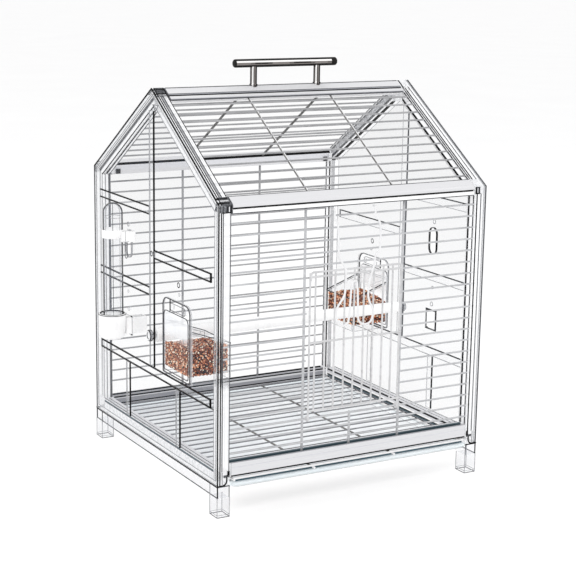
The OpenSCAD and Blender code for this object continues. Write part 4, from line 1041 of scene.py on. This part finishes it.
for sx in (-1, 1):
    for sy in (-1, 1):
        x0, x1 = sorted((sx * 195, sx * 178))
        y0, y1 = sorted((sy * 190, sy * 170))
        ft.box(x0, x1, y0, y1, 0, 25.9, "base", 0.6)
        # dark lines of painted shade on the corners and lower edges of each foot
        for x in (x0, x1):
            for y in (y0, y1):
                fa.box(x - 0.4, x + 0.4, y - 0.4, y + 0.4, 0.4, 25.9, "edge_soft")
        for z in (0.3, 3.4):
            for (a0, a1, b0, b1) in ((x0, x1, y0 - 0.1, y0 + 0.35), (x0, x1, y1 - 0.35, y1 + 0.1), (x0 - 0.1, x0 + 0.35, y0, y1), (x1 - 0.35, x1 + 0.1, y0, y1)):
                fa.box(a0, a1, b0, b1, z, z + (0.9 if z < 1 else 0.55), "edge_mid" if z < 1 else "edge_soft")
ft.build("foot_blocks", "cage", "clear_base", ("feet",))
fa.build("foot_arris", "cage", "clear_base")

# ------------------------------------------------------------------ tray
t = Shape()
t.box(-176, 176, -188, 170.4, TRAY_Z, TRAY_Z + 1.4, "tray_floor")
t.box(-176.3, -174.6, -188, 170.5, TRAY_Z, TRAY_Z + 6.8, "tray", 0.3)
t.box(174.6, 176.3, -188, 170.5, TRAY_Z, TRAY_Z + 6.8, "tray", 0.3)
t.box(-174.6, 174.6, 168.9, 170.6, TRAY_Z, TRAY_Z + 6.8, "tray", 0.3)
t.build("tray_pan", "tray", "clear_tray", ("tray",))
tr = Shape()
# painted shade: dark lines along the tray's rims and floor edges
tr.box(174.45, 176.42, -187.5, 170.3, TRAY_Z + 5.9, TRAY_Z + 6.95, "edge")
tr.box(-176.42, -174.45, -187.5, 170.3, TRAY_Z + 6.2, TRAY_Z + 6.95, "edge_mid")
tr.box(-174.2, 174.2, 168.7, 170.7, TRAY_Z + 6.2, TRAY_Z + 6.95, "edge_mid")
for x_ in (-176.42, 175.6):
    tr.box(x_, x_ + 0.82, -187.5, 170.3, TRAY_Z - 0.1, TRAY_Z + 0.6, "edge_soft")
for x_ in (-168.0, 167.2):
    tr.box(x_, x_ + 0.8, -184, 162.0, TRAY_Z + 1.3, TRAY_Z + 1.6, "edge_soft")
tr.box(-167.2, 167.2, 161.2, 162.0, TRAY_Z + 1.3, TRAY_Z + 1.6, "edge_soft")
tr.build("tray_arris", "tray", "clear_tray")
lip = Shape()
prof = [(0, 0.1), (4.2, 0.1), (6.4, 0.8), (7.7, 2.2), (8.1, 3.9), (7.3, 5.6), (5.4, 6.6), (0, 6.7), (0, 5.2), (4.6, 5.1), (6.0, 4.5), (6.4, 3.6), (5.8, 2.4), (4.2, 1.6), (0, 1.5)]
# the lip's edges take dark lines of painted shade
pk = ["edge_soft", "edge_mid", "tray", "tray", "tray", "tray", "lip_mid", "edge_soft", "tray", "tray", "tray", "tray", "tray", "tray", "edge_soft"]
pth = [(-177.2, -180.0)] + [(-167.2 + 10 * math.cos(math.radians(a)), -187 + 10 * math.sin(math.radians(a))) for a in range(180, 271, 10)]
pth += [(167.2 + 10 * math.cos(math.radians(a)), -187 + 10 * math.sin(math.radians(a))) for a in range(270, 361, 10)] + [(177.2, -180.0)]
rows = []
for i, (x, y) in enumerate(pth):
    a = np.array(pth[max(i - 1, 0)]); b = np.array(pth[min(i + 1, len(pth) - 1)])
    d = (b - a) / np.linalg.norm(b - a)
    nrm = np.array([d[1], -d[0]])
    rows.append([(x + nrm[0] * (u - 8.1), y + nrm[1] * (u - 8.1), TRAY_Z + w) for u, w in prof])
v = [p for r_ in rows for p in r_]
n = len(prof)
f, kk = [], []
for i in range(len(rows) - 1):
    for j in range(n):
        f.append([i * n + j, i * n + (j + 1) % n, (i + 1) * n + (j + 1) % n, (i + 1) * n + j])
        kk.append(pk[j])
lip.add(v, f, kk, True)
lip.add(v, [list(range(n)), [(len(rows) - 1) * n + j for j in range(n)][::-1]], "tray")
lip.build("tray_lip", "tray", "clear_tray")

# ------------------------------------------------------------------ feeders with seed
def seeds(sh_side, name, body, s):
    """A heap of small mixed seed that fills the cup; s = 1 left, -1 right (turned half round)."""
    rnd = random.Random(11 + (s < 0))
    x0, x1, y0, y1, z0, z1 = -193.3, -138.6, -107.4, -36.6, 160.2, 197.0
    cols = [(0.24, 0.055, 0.020), (0.39, 0.115, 0.045), (0.55, 0.195, 0.085), (0.90, 0.46, 0.26), (1.0, 0.82, 0.69), (0.08, 0.018, 0.009), (0.018, 0.008, 0.006), (0.27, 0.075, 0.030)]
    wts = [17, 17, 18, 18, 18, 14, 15, 14]
    base = [(0, 0, 1), (0, 0, -1)] + [(math.cos(math.radians(60 * i + 30 * (k > 0))) * 0.87, math.sin(math.radians(60 * i + 30 * (k > 0))) * 0.87, 0.45 * (1 if k else -1)) for k in (0, 1) for i in range(6)]
    faces = []
    for i in range(6):
        j = (i + 1) % 6
        faces += [(1, 2 + j, 2 + i), (0, 8 + i, 8 + j), (2 + i, 2 + j, 8 + i), (2 + j, 8 + j, 8 + i)]
    V, F, C = [], [], []

    def seed(p):
        L, w = rnd.uniform(1.7, 2.7), rnd.uniform(0.95, 1.45)
        q = Matrix.Rotation(rnd.uniform(0, 6.283), 3, "X") @ Matrix.Rotation(rnd.uniform(0, 6.283), 3, "Y") @ Matrix.Rotation(rnd.uniform(0, 6.283), 3, "Z")
        c = rnd.choices(cols, wts)[0]
        k = rnd.uniform(0.8, 1.2)
        o = len(V)
        for b in base:
            r_ = q @ Vector((b[0] * L * 0.62, b[1] * w, b[2] * w))
            V.append((p[0] + r_.x, p[1] + r_.y, p[2] + r_.z))
        for t3 in faces:
            F.append([o + i for i in t3])
            C.append((min(1, c[0] * k), min(1, c[1] * k), min(1, c[2] * k), 1))
    step = 2.15

    def jit():
        return rnd.uniform(-0.75, 0.75)
    ny, nx, nz = int((y1 - y0) / step), int((x1 - x0) / step), int((z1 - z0) / step)

    def top(y, x):
        return 190.0 + (-37.0 - y) * 0.085 - 0.8 + 0.9 * math.sin(y * 0.19) + 0.7 * math.cos(x * 0.23)
    for i in range(ny + 1):
        for j in range(nz + 1):
            y, z = y0 + i * step, z0 + j * step
            for x in (x0 + 0.9, x1 - 0.9):
                if z < top(y, x):
                    seed((x + jit() * 0.5, min(max(y + jit(), y0 + 1), y1 - 1), z + jit()))
    for i in range(nx + 1):
        for j in range(nz + 1):
            x, z = x0 + i * step, z0 + j * step
            for y in (y0 + 0.9, y1 - 0.9):
                if z < top(y, x):
                    seed((min(max(x + jit(), x0 + 1), x1 - 1), y + jit() * 0.5, z + jit()))
    for i in range(nx + 1):
        for j in range(ny + 1):
            x, y = x0 + i * step, y0 + j * step
            for k in (0.0, -1.6):
                seed((min(max(x + jit(), x0 + 1), x1 - 1), min(max(y + jit(), y0 + 1), y1 - 1), top(y, x) + k + jit()))
            seed((min(max(x + jit(), x0 + 1), x1 - 1), min(max(y + jit(), y0 + 1), y1 - 1), z0 + 0.6 + jit() * 0.4))
    # core, so that no light shows through the heap; its near-black brown is painted shade for the gaps deep in the heap
    o = len(V)
    V += [(x, y, z) for x in (x0 + 1.6, x1 - 1.6) for y in (y0 + 1.6, y1 - 1.6) for z in (z0 + 1, 185.5)]
    for t4 in [[0, 1, 3, 2], [4, 6, 7, 5], [0, 4, 5, 1], [2, 3, 7, 6], [0, 2, 6, 4], [1, 5, 7, 3]]:
        F.append([o + i for i in t4])
        C.append((0.03, 0.010, 0.006, 1))
    if s < 0:
        V = [(-x, -y, z) for x, y, z in V]
    me = bpy.data.meshes.new(name)
    me.from_pydata([(x * MM, y * MM, z * MM) for x, y, z in V], [], F)
    at = me.color_attributes.new("seed_colour", "FLOAT_COLOR", "CORNER")
    buf = np.zeros((len(me.loops), 4), np.float32)
    li = 0
    for pf, c in zip(me.polygons, C):
        for k in pf.loop_indices:
            buf[k] = c
    at.data.foreach_set("color", buf.ravel())
    me.polygons.foreach_set("use_smooth", [True] * len(me.polygons))
    me.materials.append(M["seed"])
    ob = bpy.data.objects.new(name, me)
    bpy.context.scene.collection.objects.link(ob)
    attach(ob, body)
    return ob


m, nt, b = new_mat("seed_mix")
at = nt.nodes.new("ShaderNodeAttribute")
at.attribute_name = "seed_colour"
mp = mapping(nt, (1, 1, 1))
nn = noise(nt, mp, 900.0, 2.0)
mx = nt.nodes.new("ShaderNodeMix")
mx.data_type = "RGBA"
mx.blend_type = "MULTIPLY"
mx.inputs[0].default_value = 0.6
r_ = ramp(nt, nn.outputs["Fac"], [(0.3, (0.6, 0.55, 0.5)), (0.7, (1.15, 1.1, 1.05))])
nt.links.new(at.outputs["Color"], mx.inputs[6])
nt.links.new(r_.outputs[0], mx.inputs[7])
nt.links.new(mx.outputs[2], b.inputs["Base Color"])
nt.links.new(rng(nt, nn.outputs["Fac"], 0.4, 0.65).outputs[0], b.inputs["Roughness"])
bump(nt, b, nn.outputs["Fac"], 0.15)
M["seed"] = m

for s, nm in ((1, "left"), (-1, "right")):
    body = nm + "_feeder"
    X = lambda x: -s * x
    ys = sorted((s * (-FY - PW / 2), s * (-FY + PW / 2)))
    ya, yb = ys
    # plate: a frame of clear sheet round a thin window, with dark outlines of painted shade and a thumb grip; the
    # window sheet carries a painted highlight over its upper part
    win = tomb(ya + 5.2, yb - 5.2, FZ0 + 5.2, FZ1 - 17.4, 6.8, 3.0)
    grip_y = sorted((s * -55.8, s * -98.4))
    grip = tomb(grip_y[0], grip_y[1], FZ1 - 14.2, FZ1 - 5.2, 3.0, 3.0)
    sheet(nm + "_feeder_plate", tomb(ya, yb, FZ0, FZ1, 12, 3.0), [win, grip], X(XP + 4.1), X(XP + 1.1), 0.4, "feeder", "edge_soft", "side", body, "clear_feeder", (nm + "_feeder",))
    sheet(nm + "_feeder_window_highlight", tomb(ya + 5.0, yb - 5.0, FZ0 + 5.0, FZ1 - 17.2, 7, 3.0), [], X(XP + 4.0), X(XP + 3.3), 0.1, "feeder_win", "side", "side", body, "clear_feeder")
    sheet(nm + "_feeder_grip_back", tomb(grip_y[0] - 0.4, grip_y[1] + 0.4, FZ1 - 14.6, FZ1 - 4.8, 3.2, 3.2), [], X(XP + 2.0), X(XP + 1.2), 0.1, "feeder_grip", "side", "side", body, "clear_feeder")
    rimf = Shape()
    o_, i_ = tomb(ya + 0.1, yb - 0.1, FZ0 + 0.1, FZ1 - 0.1, 11.9, 3.0), tomb(ya + 1.5, yb - 1.5, FZ0 + 1.5, FZ1 - 1.5, 10.6, 2.0)
    front_ = lambda y: (y + 72.3 * s) * s < -20      # the edge nearer the doorway side of its own gable

    # painted shade: the plate's rim is darkest on the edge toward the doorway, and all round on the right feeder
    def k_plate(y, z):
        if front_(y) or s < 0:
            return "feeder_edge"
        return "edge_mid"
    loop_prism(rimf, o_, i_, X(XP + 3.3), X(XP + 4.3), k_plate)
    o_, i_ = tomb(ya + 4.3, yb - 4.3, FZ0 + 4.3, FZ1 - 16.5, 7.4, 3.4), tomb(ya + 5.2, yb - 5.2, FZ0 + 5.2, FZ1 - 17.4, 6.8, 3.0)
    loop_prism(rimf, o_, i_, X(XP + 3.9), X(XP + 4.7), lambda y, z: "feeder_edge" if (front_(y) or z > FZ1 - 30) else "edge_mid")
    # lines of the cup mouth, behind the window, and the grip, drawn as dark lines of painted shade
    loop_prism(rimf, tomb(grip_y[0] - 0.5, grip_y[1] + 0.5, FZ1 - 14.7, FZ1 - 4.7, 3.4, 3.4), grip, X(XP + 3.9), X(XP + 4.6), lambda y, z: "feeder_edge" if z < FZ1 - 12 else "edge_mid")
    pin_ = s * -56.2
    rimf.tube([(X(XP + 4.7), pin_, 235.0), (X(XP + 4.7), pin_, 249.2)], 0.8, "black", 10)
    for yy in (grip_y[0] + 7, grip_y[1] - 7):
        rimf.tube([(X(XP + 2.3), yy, FZ1 - 12.5), (X(XP + 2.3), yy, FZ1 - 7.0)], 0.45, "edge_soft", 8)
    for dz in (25.5, 28.0):
        rimf.tube([(X(XP + 1.6), ya + 6.5, FZ1 - dz), (X(XP + 1.6), yb - 6.5, FZ1 - dz)], 0.4, "edge_soft", 8)
    rimf.build(nm + "_feeder_lines", body, "clear_feeder")
    # cup walls
    c = Shape()
    xb = XP + 1.1
    o_pts = [(xb, 150.4), (xb - 54, 150.4), (xb - 56.2, 151.4), (xb - 57, 154), (xb - 57, 198), (xb, 218.5)]
    for yy, in_ in ((ya + 2, 1), (yb - 2, -1)):
        for w, key in ((0.0, "feeder"), (2.0, "feeder")):
            y = yy + in_ * w
            c.add([(X(a), y, z) for a, z in o_pts], [list(range(len(o_pts)))], key)
    for i in range(1, 4):
        (a0, z0), (a1, z1) = o_pts[i], o_pts[i + 1]
        c.add([(X(a0), ya + 2, z0), (X(a0), yb - 2, z0), (X(a1), yb - 2, z1), (X(a1), ya + 2, z1)], [[0, 1, 2, 3]], "feeder")
        c.add([(X(a0 + 2), ya + 4, z0 + (1.8 if i < 3 else 0)), (X(a0 + 2), yb - 4, z0 + (1.8 if i < 3 else 0)), (X(a1 + 2), yb - 4, z1), (X(a1 + 2), ya + 4, z1)], [[0, 1, 2, 3]], "feeder")
    (a0, z0), (a1, z1) = o_pts[0], o_pts[1]
    c.add([(X(a0), ya + 2, z0), (X(a0), yb - 2, z0), (X(a1), yb - 2, z1), (X(a1), ya + 2, z1)], [[0, 1, 2, 3]], "feeder")
    c.build(nm + "_feeder_cup", body, "clear_feeder")
    # rims of the cup drawn as dark lines of painted shade: sloping side walls, inner lip, corners
    e = Shape()
    dark, soft = ("edge_mid", "edge_soft") if s > 0 else ("feeder_edge", "edge_mid")
    for yy in (ya + 3, yb - 3):
        e.tube([(X(xb - 0.5), yy, 218.2), (X(xb - 18), yy, 211.8), (X(xb - 56), yy, 198.2)], 0.6 if s > 0 else 0.85, dark, 8)
        e.tube([(X(xb - 0.5), yy, 215.8), (X(xb - 18), yy, 209.4), (X(xb - 55), yy, 196.0)], 0.35, soft, 8)
        e.tube([(X(xb - 56), yy, 197.8), (X(xb - 56), yy, 154), (X(xb - 53.5), yy, 151.2), (X(xb - 0.8), yy, 151.2)], 0.4, "edge_soft", 8)
    e.tube([(X(xb - 56), ya + 3, 198.2), (X(xb - 56), yb - 3, 198.2)], 0.65 if s > 0 else 0.85, dark, 8)
    e.tube([(X(xb - 54.5), ya + 3, 151.2), (X(xb - 54.5), yb - 3, 151.2)], 0.4, "edge_soft", 8)
    # hooks of thin wire that hold the cup to its plate
    for yy, sg_ in ((ya + 12, 1), (yb - 12, -1)):
        e.tube([(X(xb - 1.0), yy, 219.5), (X(xb - 16), yy, 216.5), (X(xb - 19), yy + sg_ * 1.5, 213.5), (X(xb - 16), yy + sg_ * 3, 211.0), (X(xb - 1.0), yy + sg_ * 3, 214.0)], 0.45, "wire", 8)
    e.build(nm + "_feeder_rims", body, "clear_feeder")
    seeds(None, nm + "_feeder_seed", body, s)

# ------------------------------------------------------------------ drinker
TX, TZ0, TZ1, TR = -215.6, 186.3, 355.8, 13.5
tb = Shape()
dome = [(TZ1 - TR + TR * math.sin(math.radians(a)), TR * math.cos(math.radians(a))) for a in range(0, 91, 9)]
dome[-1] = (TZ1, 0.0)
tb.lathe([(TZ0, TR - 1.6), (TZ0, TR)] + [(z, TR) for z in np.linspace(TZ0 + 4, TZ1 - TR - 4, 12)] + dome, (TX, DY, 0), (0, 0, 1), "tube", 72)
tb.lathe([(TZ0, TR - 1.6), (TZ1 - TR, TR - 1.6)] + [(TZ1 - TR + (TR - 1.6) * math.sin(math.radians(a)), max((TR - 1.6) * math.cos(math.radians(a)), 0.0) if a < 90 else 0.0) for a in range(9, 91, 9)], (TX, DY, 0), (0, 0, 1), "tube_in", 72)
tb.build("tube_wall", "drinker_tube", "clear_tube", ("drinker_tube",))
tl = Shape()
# flutes moulded in the wall, and moulded rings
# the flutes and rings are drawn in edge paint: dark lines of painted shade on the clear wall
for k in range(8):
    a = math.radians(22.5 + 45 * k)
    ca, sa = math.cos(a), math.sin(a)
    r0 = TR - 0.35
    tl.tube([(TX + r0 * ca, DY + r0 * sa, TZ0 + 1), (TX + r0 * ca, DY + r0 * sa, TZ1 - TR)] +
            [(TX + (r0 * math.cos(math.radians(b))) * ca, DY + (r0 * math.cos(math.radians(b))) * sa, TZ1 - TR + r0 * math.sin(math.radians(b))) for b in (20, 40, 60)], 0.3,
            "edge_mid" if k % 2 else "edge_soft", 6)
for z in (TZ0 + 1.2, 336.5):
    ring = [(TX + (TR - 0.2) * math.cos(math.radians(b)), DY + (TR - 0.2) * math.sin(math.radians(b)), z) for b in range(0, 361, 12)]
    tl.tube(ring, 0.4, "edge_soft", 6, caps=False)
tl.build("tube_ribs", "drinker_tube", "clear_tube")

cl = Shape()
cl.lathe([(309.2, 13.9), (309.0, 14.6), (309.5, 15.0), (319.6, 15.0), (320.1, 14.6), (319.9, 13.9), (309.2, 13.9)], (TX, DY, 0), (0, 0, 1), "white", 56)
# split block that carries the band on the sheet
cl.box(TX + 6.0, TX + 16.4, DY - 16.4, DY - 9.8, 304.2, 319.6, "white", 0.8)
cl.box(TX + 13.2, -XP + 1.5, DY - 15.4, DY + 6, 303.2, 316.2, "white", 0.8)
cl.box(-XP + 0.2, -XP + 2.2, DY - 11, DY + 12, 302.2, 318.2, "white", 0.6)
# dark lines of painted shade along the block's top and bottom and its split
for zz in (304.3, 319.1):
    cl.box(TX + 6.2, TX + 16.2, DY - 16.5, DY - 16.1, zz, zz + 0.35, "edge_soft")
cl.tube([(TX + 11.2, DY - 16.45, 305.0), (TX + 11.2, DY - 16.45, 318.8)], 0.3, "edge_soft", 6)
# spring tongue in the upper part of the slot
jk = [(-XP - 5.0, 76.4, 312.0), (-XP - 5.0, 76.4, 282.6)] + [(-XP - 5.0, 80.2 - 3.8 * math.cos(math.radians(a_)), 282.0 - 3.6 * math.sin(math.radians(a_))) for a_ in range(10, 180, 20)] + [(-XP - 5.0, 84.0, 282.6), (-XP - 5.0, 84.0, 303.0)]
cl.tube(jk, 0.5, "edge_mid", 8)
cl.build("clip_band", "cage", "white_plastic", ("drinker_clip",))

cu = Shape()
# the inner faces take the shaded white, and a dark ring of painted shade runs round the inner rim
cu.lathe([(171.6, 0.0), (171.6, 12.5), (172.2, 13.8), (175.0, 17.0), (176.5, 17.5), (203.6, 18.4), (205.2, 18.4), (206.0, 17.9), (206.0, 16.7), (205.6, 16.1), (204.6, 15.95), (180, 15.6), (175.4, 13.4), (173.8, 11.0), (173.8, 0.0)],
         (TX - 1.8, DY, 0), (0, 0, 1), ["white"] * 9 + ["edge_mid", "white_in", "white_in", "white_in", "white_in"], 64)
cu.build("cup_bowl", "cage", "white_plastic", ("drinker_cup",))
# shelf that carries the tube, in the shaded white, with two dark rings of painted shade at the rim, and the water round
# it
cw = Shape()
cw.lathe([(186.0, 12.3), (186.0, 15.7), (184.0, 15.6), (184.0, 12.3), (186.0, 12.3)], (TX - 1.8, DY, 0), (0, 0, 1), "white_in", 48)
for r_a, z_a, k_a in ((18.35, 205.1, "edge_mid"), (16.3, 205.95, "edge")):
    cw.tube([(TX - 1.8 + r_a * math.cos(math.radians(b)), DY + r_a * math.sin(math.radians(b)), z_a) for b in range(0, 361, 8)], 0.55, k_a, 6, caps=False)
cw.build("cup_shelf", "cage", "white_plastic")
wt = Shape()
wt.lathe([(203.4, 0.0), (203.4, 14.6), (203.7, 15.7), (203.1, 15.7), (203.0, 0.0)], (TX - 1.8, DY, 0), (0, 0, 1), "water", 48)
wt.build("cup_water", "cage")
sp = Shape()
sp.box(TX + 15.4, -170.3, DY - 7.6, DY + 7.6, 176.5, 178.2, "white", 0.4)
sp.box(TX + 15.2, -170.15, DY - 8, DY - 6.4, 176.7, 198.5, "white", 0.4)
sp.box(TX + 15.2, -170.15, DY + 6.4, DY + 8, 176.7, 198.5, "white", 0.4)
sp.box(-171.6, -170, DY - 7.9, DY + 7.9, 176.8, 198.4, "white", 0.4)
sp.build("cup_trough", "cage", "white_plastic")

# ------------------------------------------------------------------ perch and knobs
pe = Shape()
pe.lathe([(-190.1, 0), (-190.1, 8.6), (-189.3, 9.4)] + [(x, 9.5 - (x + 190) / 380 * 2.2) for x in np.linspace(-188.5, 188.5, 40)] + [(189.6, 7.1), (190.1, 6.5), (190.1, 0)], (0, 0, 190), (1, 0, 0), "white", 48)
pe.build("perch_rod", "cage", "white_plastic", ("perch",))
st = Shape()
for sg in (-1, 1):
    st.lathe([(190, 0), (190, 3.7), (198.0, 3.7), (198.4, 3.3), (198.4, 0)], (0, 0, 190), (sg, 0, 0), "wire", 24)
st.build("perch_studs", "cage", "white_plastic")
for sg, nm in ((-1, "left"), (1, "right")):
    kb = Shape()
    pr = [(195.35, 3.9), (195.35, 6.9), (195.8, 7.3), (199.0, 7.4), (199.8, 7.0), (200.3, 6.2), (200.3, 4.6), (199.4, 4.2), (199.2, 0)]
    n = 48
    # painted shade: the left knob takes dark rims and flutes, the right knob paler copies
    kb.lathe(pr, (0, 0, 190), (sg, 0, 0), ["edge_mid", "edge", "knob", "edge", "edge_mid", "white_gap", "edge", "white_gap"] if sg < 0 else ["edge_soft", "edge_soft", "knob_r", "edge_soft", "edge_soft", "white_gap", "edge_soft", "white_gap"], n)
    # grip flutes
    for i in range(16):
        a = 2 * math.pi * i / 16
        kb.tube([(sg * 196.0, 7.3 * math.cos(a), 190 + 7.3 * math.sin(a)), (sg * 199.0, 7.3 * math.cos(a), 190 + 7.3 * math.sin(a))], 0.4, ("edge_mid" if sg < 0 else "edge_soft") if i % 2 else "base", 6)
    kb.build(nm + "_knob", nm + "_perch_knob", "white_plastic", (nm + "_perch_knob",))

# ------------------------------------------------------------------ handle


def k_bar(i, a):
    """Painted reflections on a polished round bar: dark above and below, a bright strip of painted highlight and a
    mottled grey middle on each side.
    """
    t = -(a if a <= 180 else a - 360)          # from -Y towards +Z
    t = t if abs(t) <= 90 else math.copysign(180 - abs(t), t)
    if i < 4 or i > 26:
        return "st_dark"
    x = (i - 4) / 22.0
    wave = math.sin(x * 15.0 + 0.6)
    if t < -26:
        return "st_dark"
    if t < -10:
        return "st_mid"
    if t < 3:
        return "st_mid" if wave > 0.35 else ("st_low" if wave > -0.35 else "st_dark")
    if t < 15:
        return "st_mid" if wave > -0.2 else "st_low"
    if t < 38:
        return "st_lite"
    return "st_dark"


def k_post(i, a):
    # painted reflections: stripes of dark, grey and highlight by angle round the post, repeating every half turn
    t = a % 180
    for hi_, k_ in ((16.7, "st_dark_v"), (38.6, "st_mid_v"), (57.4, "st_lite_v"), (76, "st_low_v"), (95.8, "st_mid_v"), (181, "st_dark_v")):
        if t < hi_:
            return k_
    return "st_dark_v"


hb = Shape()
hb.lathe([(-77.5, 0), (-77.5, 3.2), (-77.2, 4.3), (-76.4, 5.1), (-75.4, 5.5)] + [(x, 5.5) for x in np.linspace(-74.5, 74.5, 24)] + [(75.4, 5.5), (76.4, 5.1), (77.2, 4.3), (77.5, 3.2), (77.5, 0)], (0, 0, 540.2), (1, 0, 0), k_bar, 60)
hb.build("handle_grip", "cage", "brushed_handle", ("handle_bar",))
hp = Shape()
for sg in (-1, 1):
    hp.lathe([(505, 0), (505, 4.5), (511.9, 4.5), (512.0, 5.4), (513.0, 5.4), (513.2, 4.5)] + [(z, 4.5) for z in np.linspace(515, 536, 8)] + [(537, 0)], (sg * 48, 0, 0), (0, 0, 1), k_post, 60)
hp.build("handle_stems", "cage", "brushed_handle", ("handle_posts",))

# ------------------------------------------------------------------ floor, light, camera
fm, nt, b = new_mat("pale_floor")
mp = mapping(nt, (1, 1, 1))
nn = noise(nt, mp, 3.0, 3.0)
r_ = ramp(nt, nn.outputs["Fac"], [(0.3, (0.965, 0.965, 0.968)), (0.7, (0.98, 0.98, 0.982))])
nt.links.new(r_.outputs[0], b.inputs["Base Color"])
b.inputs["Roughness"].default_value = 0.9
b.inputs["Specular IOR Level"].default_value = 0.1
me = bpy.data.meshes.new("floor")
me.from_pydata([(-40, -40, -0.0005), (40, -40, -0.0005), (40, 40, -0.0005), (-40, 40, -0.0005)], [], [[0, 1, 2, 3]])
me.materials.append(fm)
floor = bpy.data.objects.new("floor", me)
bpy.context.scene.collection.objects.link(floor)
floor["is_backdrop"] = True

w = bpy.data.worlds.new("studio")
bpy.context.scene.world = w
w.use_nodes = True
bg = w.node_tree.nodes["Background"]
bg.inputs[0].default_value = (1.0, 1.0, 1.0, 1)
bg.inputs[1].default_value = 1.0


def area(name, loc, target, size, energy):
    l = bpy.data.lights.new(name, "AREA")
    l.shape = "SQUARE"
    l.size = size
    l.energy = energy
    o = bpy.data.objects.new(name, l)
    bpy.context.scene.collection.objects.link(o)
    o.location = loc
    d = Vector(target) - Vector(loc)
    o.rotation_mode = "QUATERNION"
    o.rotation_quaternion = d.to_track_quat("-Z", "Y")
    return o


area("key", (-1.6, -1.8, 2.6), (0, 0, 0.2), 1.6, 26)
area("fill", (2.2, -1.2, 1.6), (0, 0, 0.25), 1.6, 8)

cam = bpy.data.cameras.new("camera")
cam.sensor_width = 36.0
cam.lens = 1547.768 / 576 * 36
cam.clip_start, cam.clip_end = 0.05, 100
co = bpy.data.objects.new("camera", cam)
bpy.context.scene.collection.objects.link(co)
yaw, pitch, roll = (math.radians(x) for x in (29.718, 12.301, 0.896))
fw = Vector((math.sin(yaw) * math.cos(pitch), math.cos(yaw) * math.cos(pitch), -math.sin(pitch)))
rt = Vector((math.cos(yaw), -math.sin(yaw), 0))
up = rt.cross(fw)
r2 = rt * math.cos(roll) + up * math.sin(roll)
u2 = -rt * math.sin(roll) + up * math.cos(roll)
mt = Matrix((r2, u2, -fw)).transposed().to_4x4()
mt.translation = Vector((-1.014895, -1.793582, 0.684480))
co.matrix_world = mt
sc = bpy.context.scene
sc.camera = co
sc.view_settings.view_transform = "Standard"
sc.view_settings.look = "None"
if hasattr(sc, "cycles"):
    sc.cycles.transparent_max_bounces = 64
    sc.cycles.max_bounces = 10

lo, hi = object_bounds()
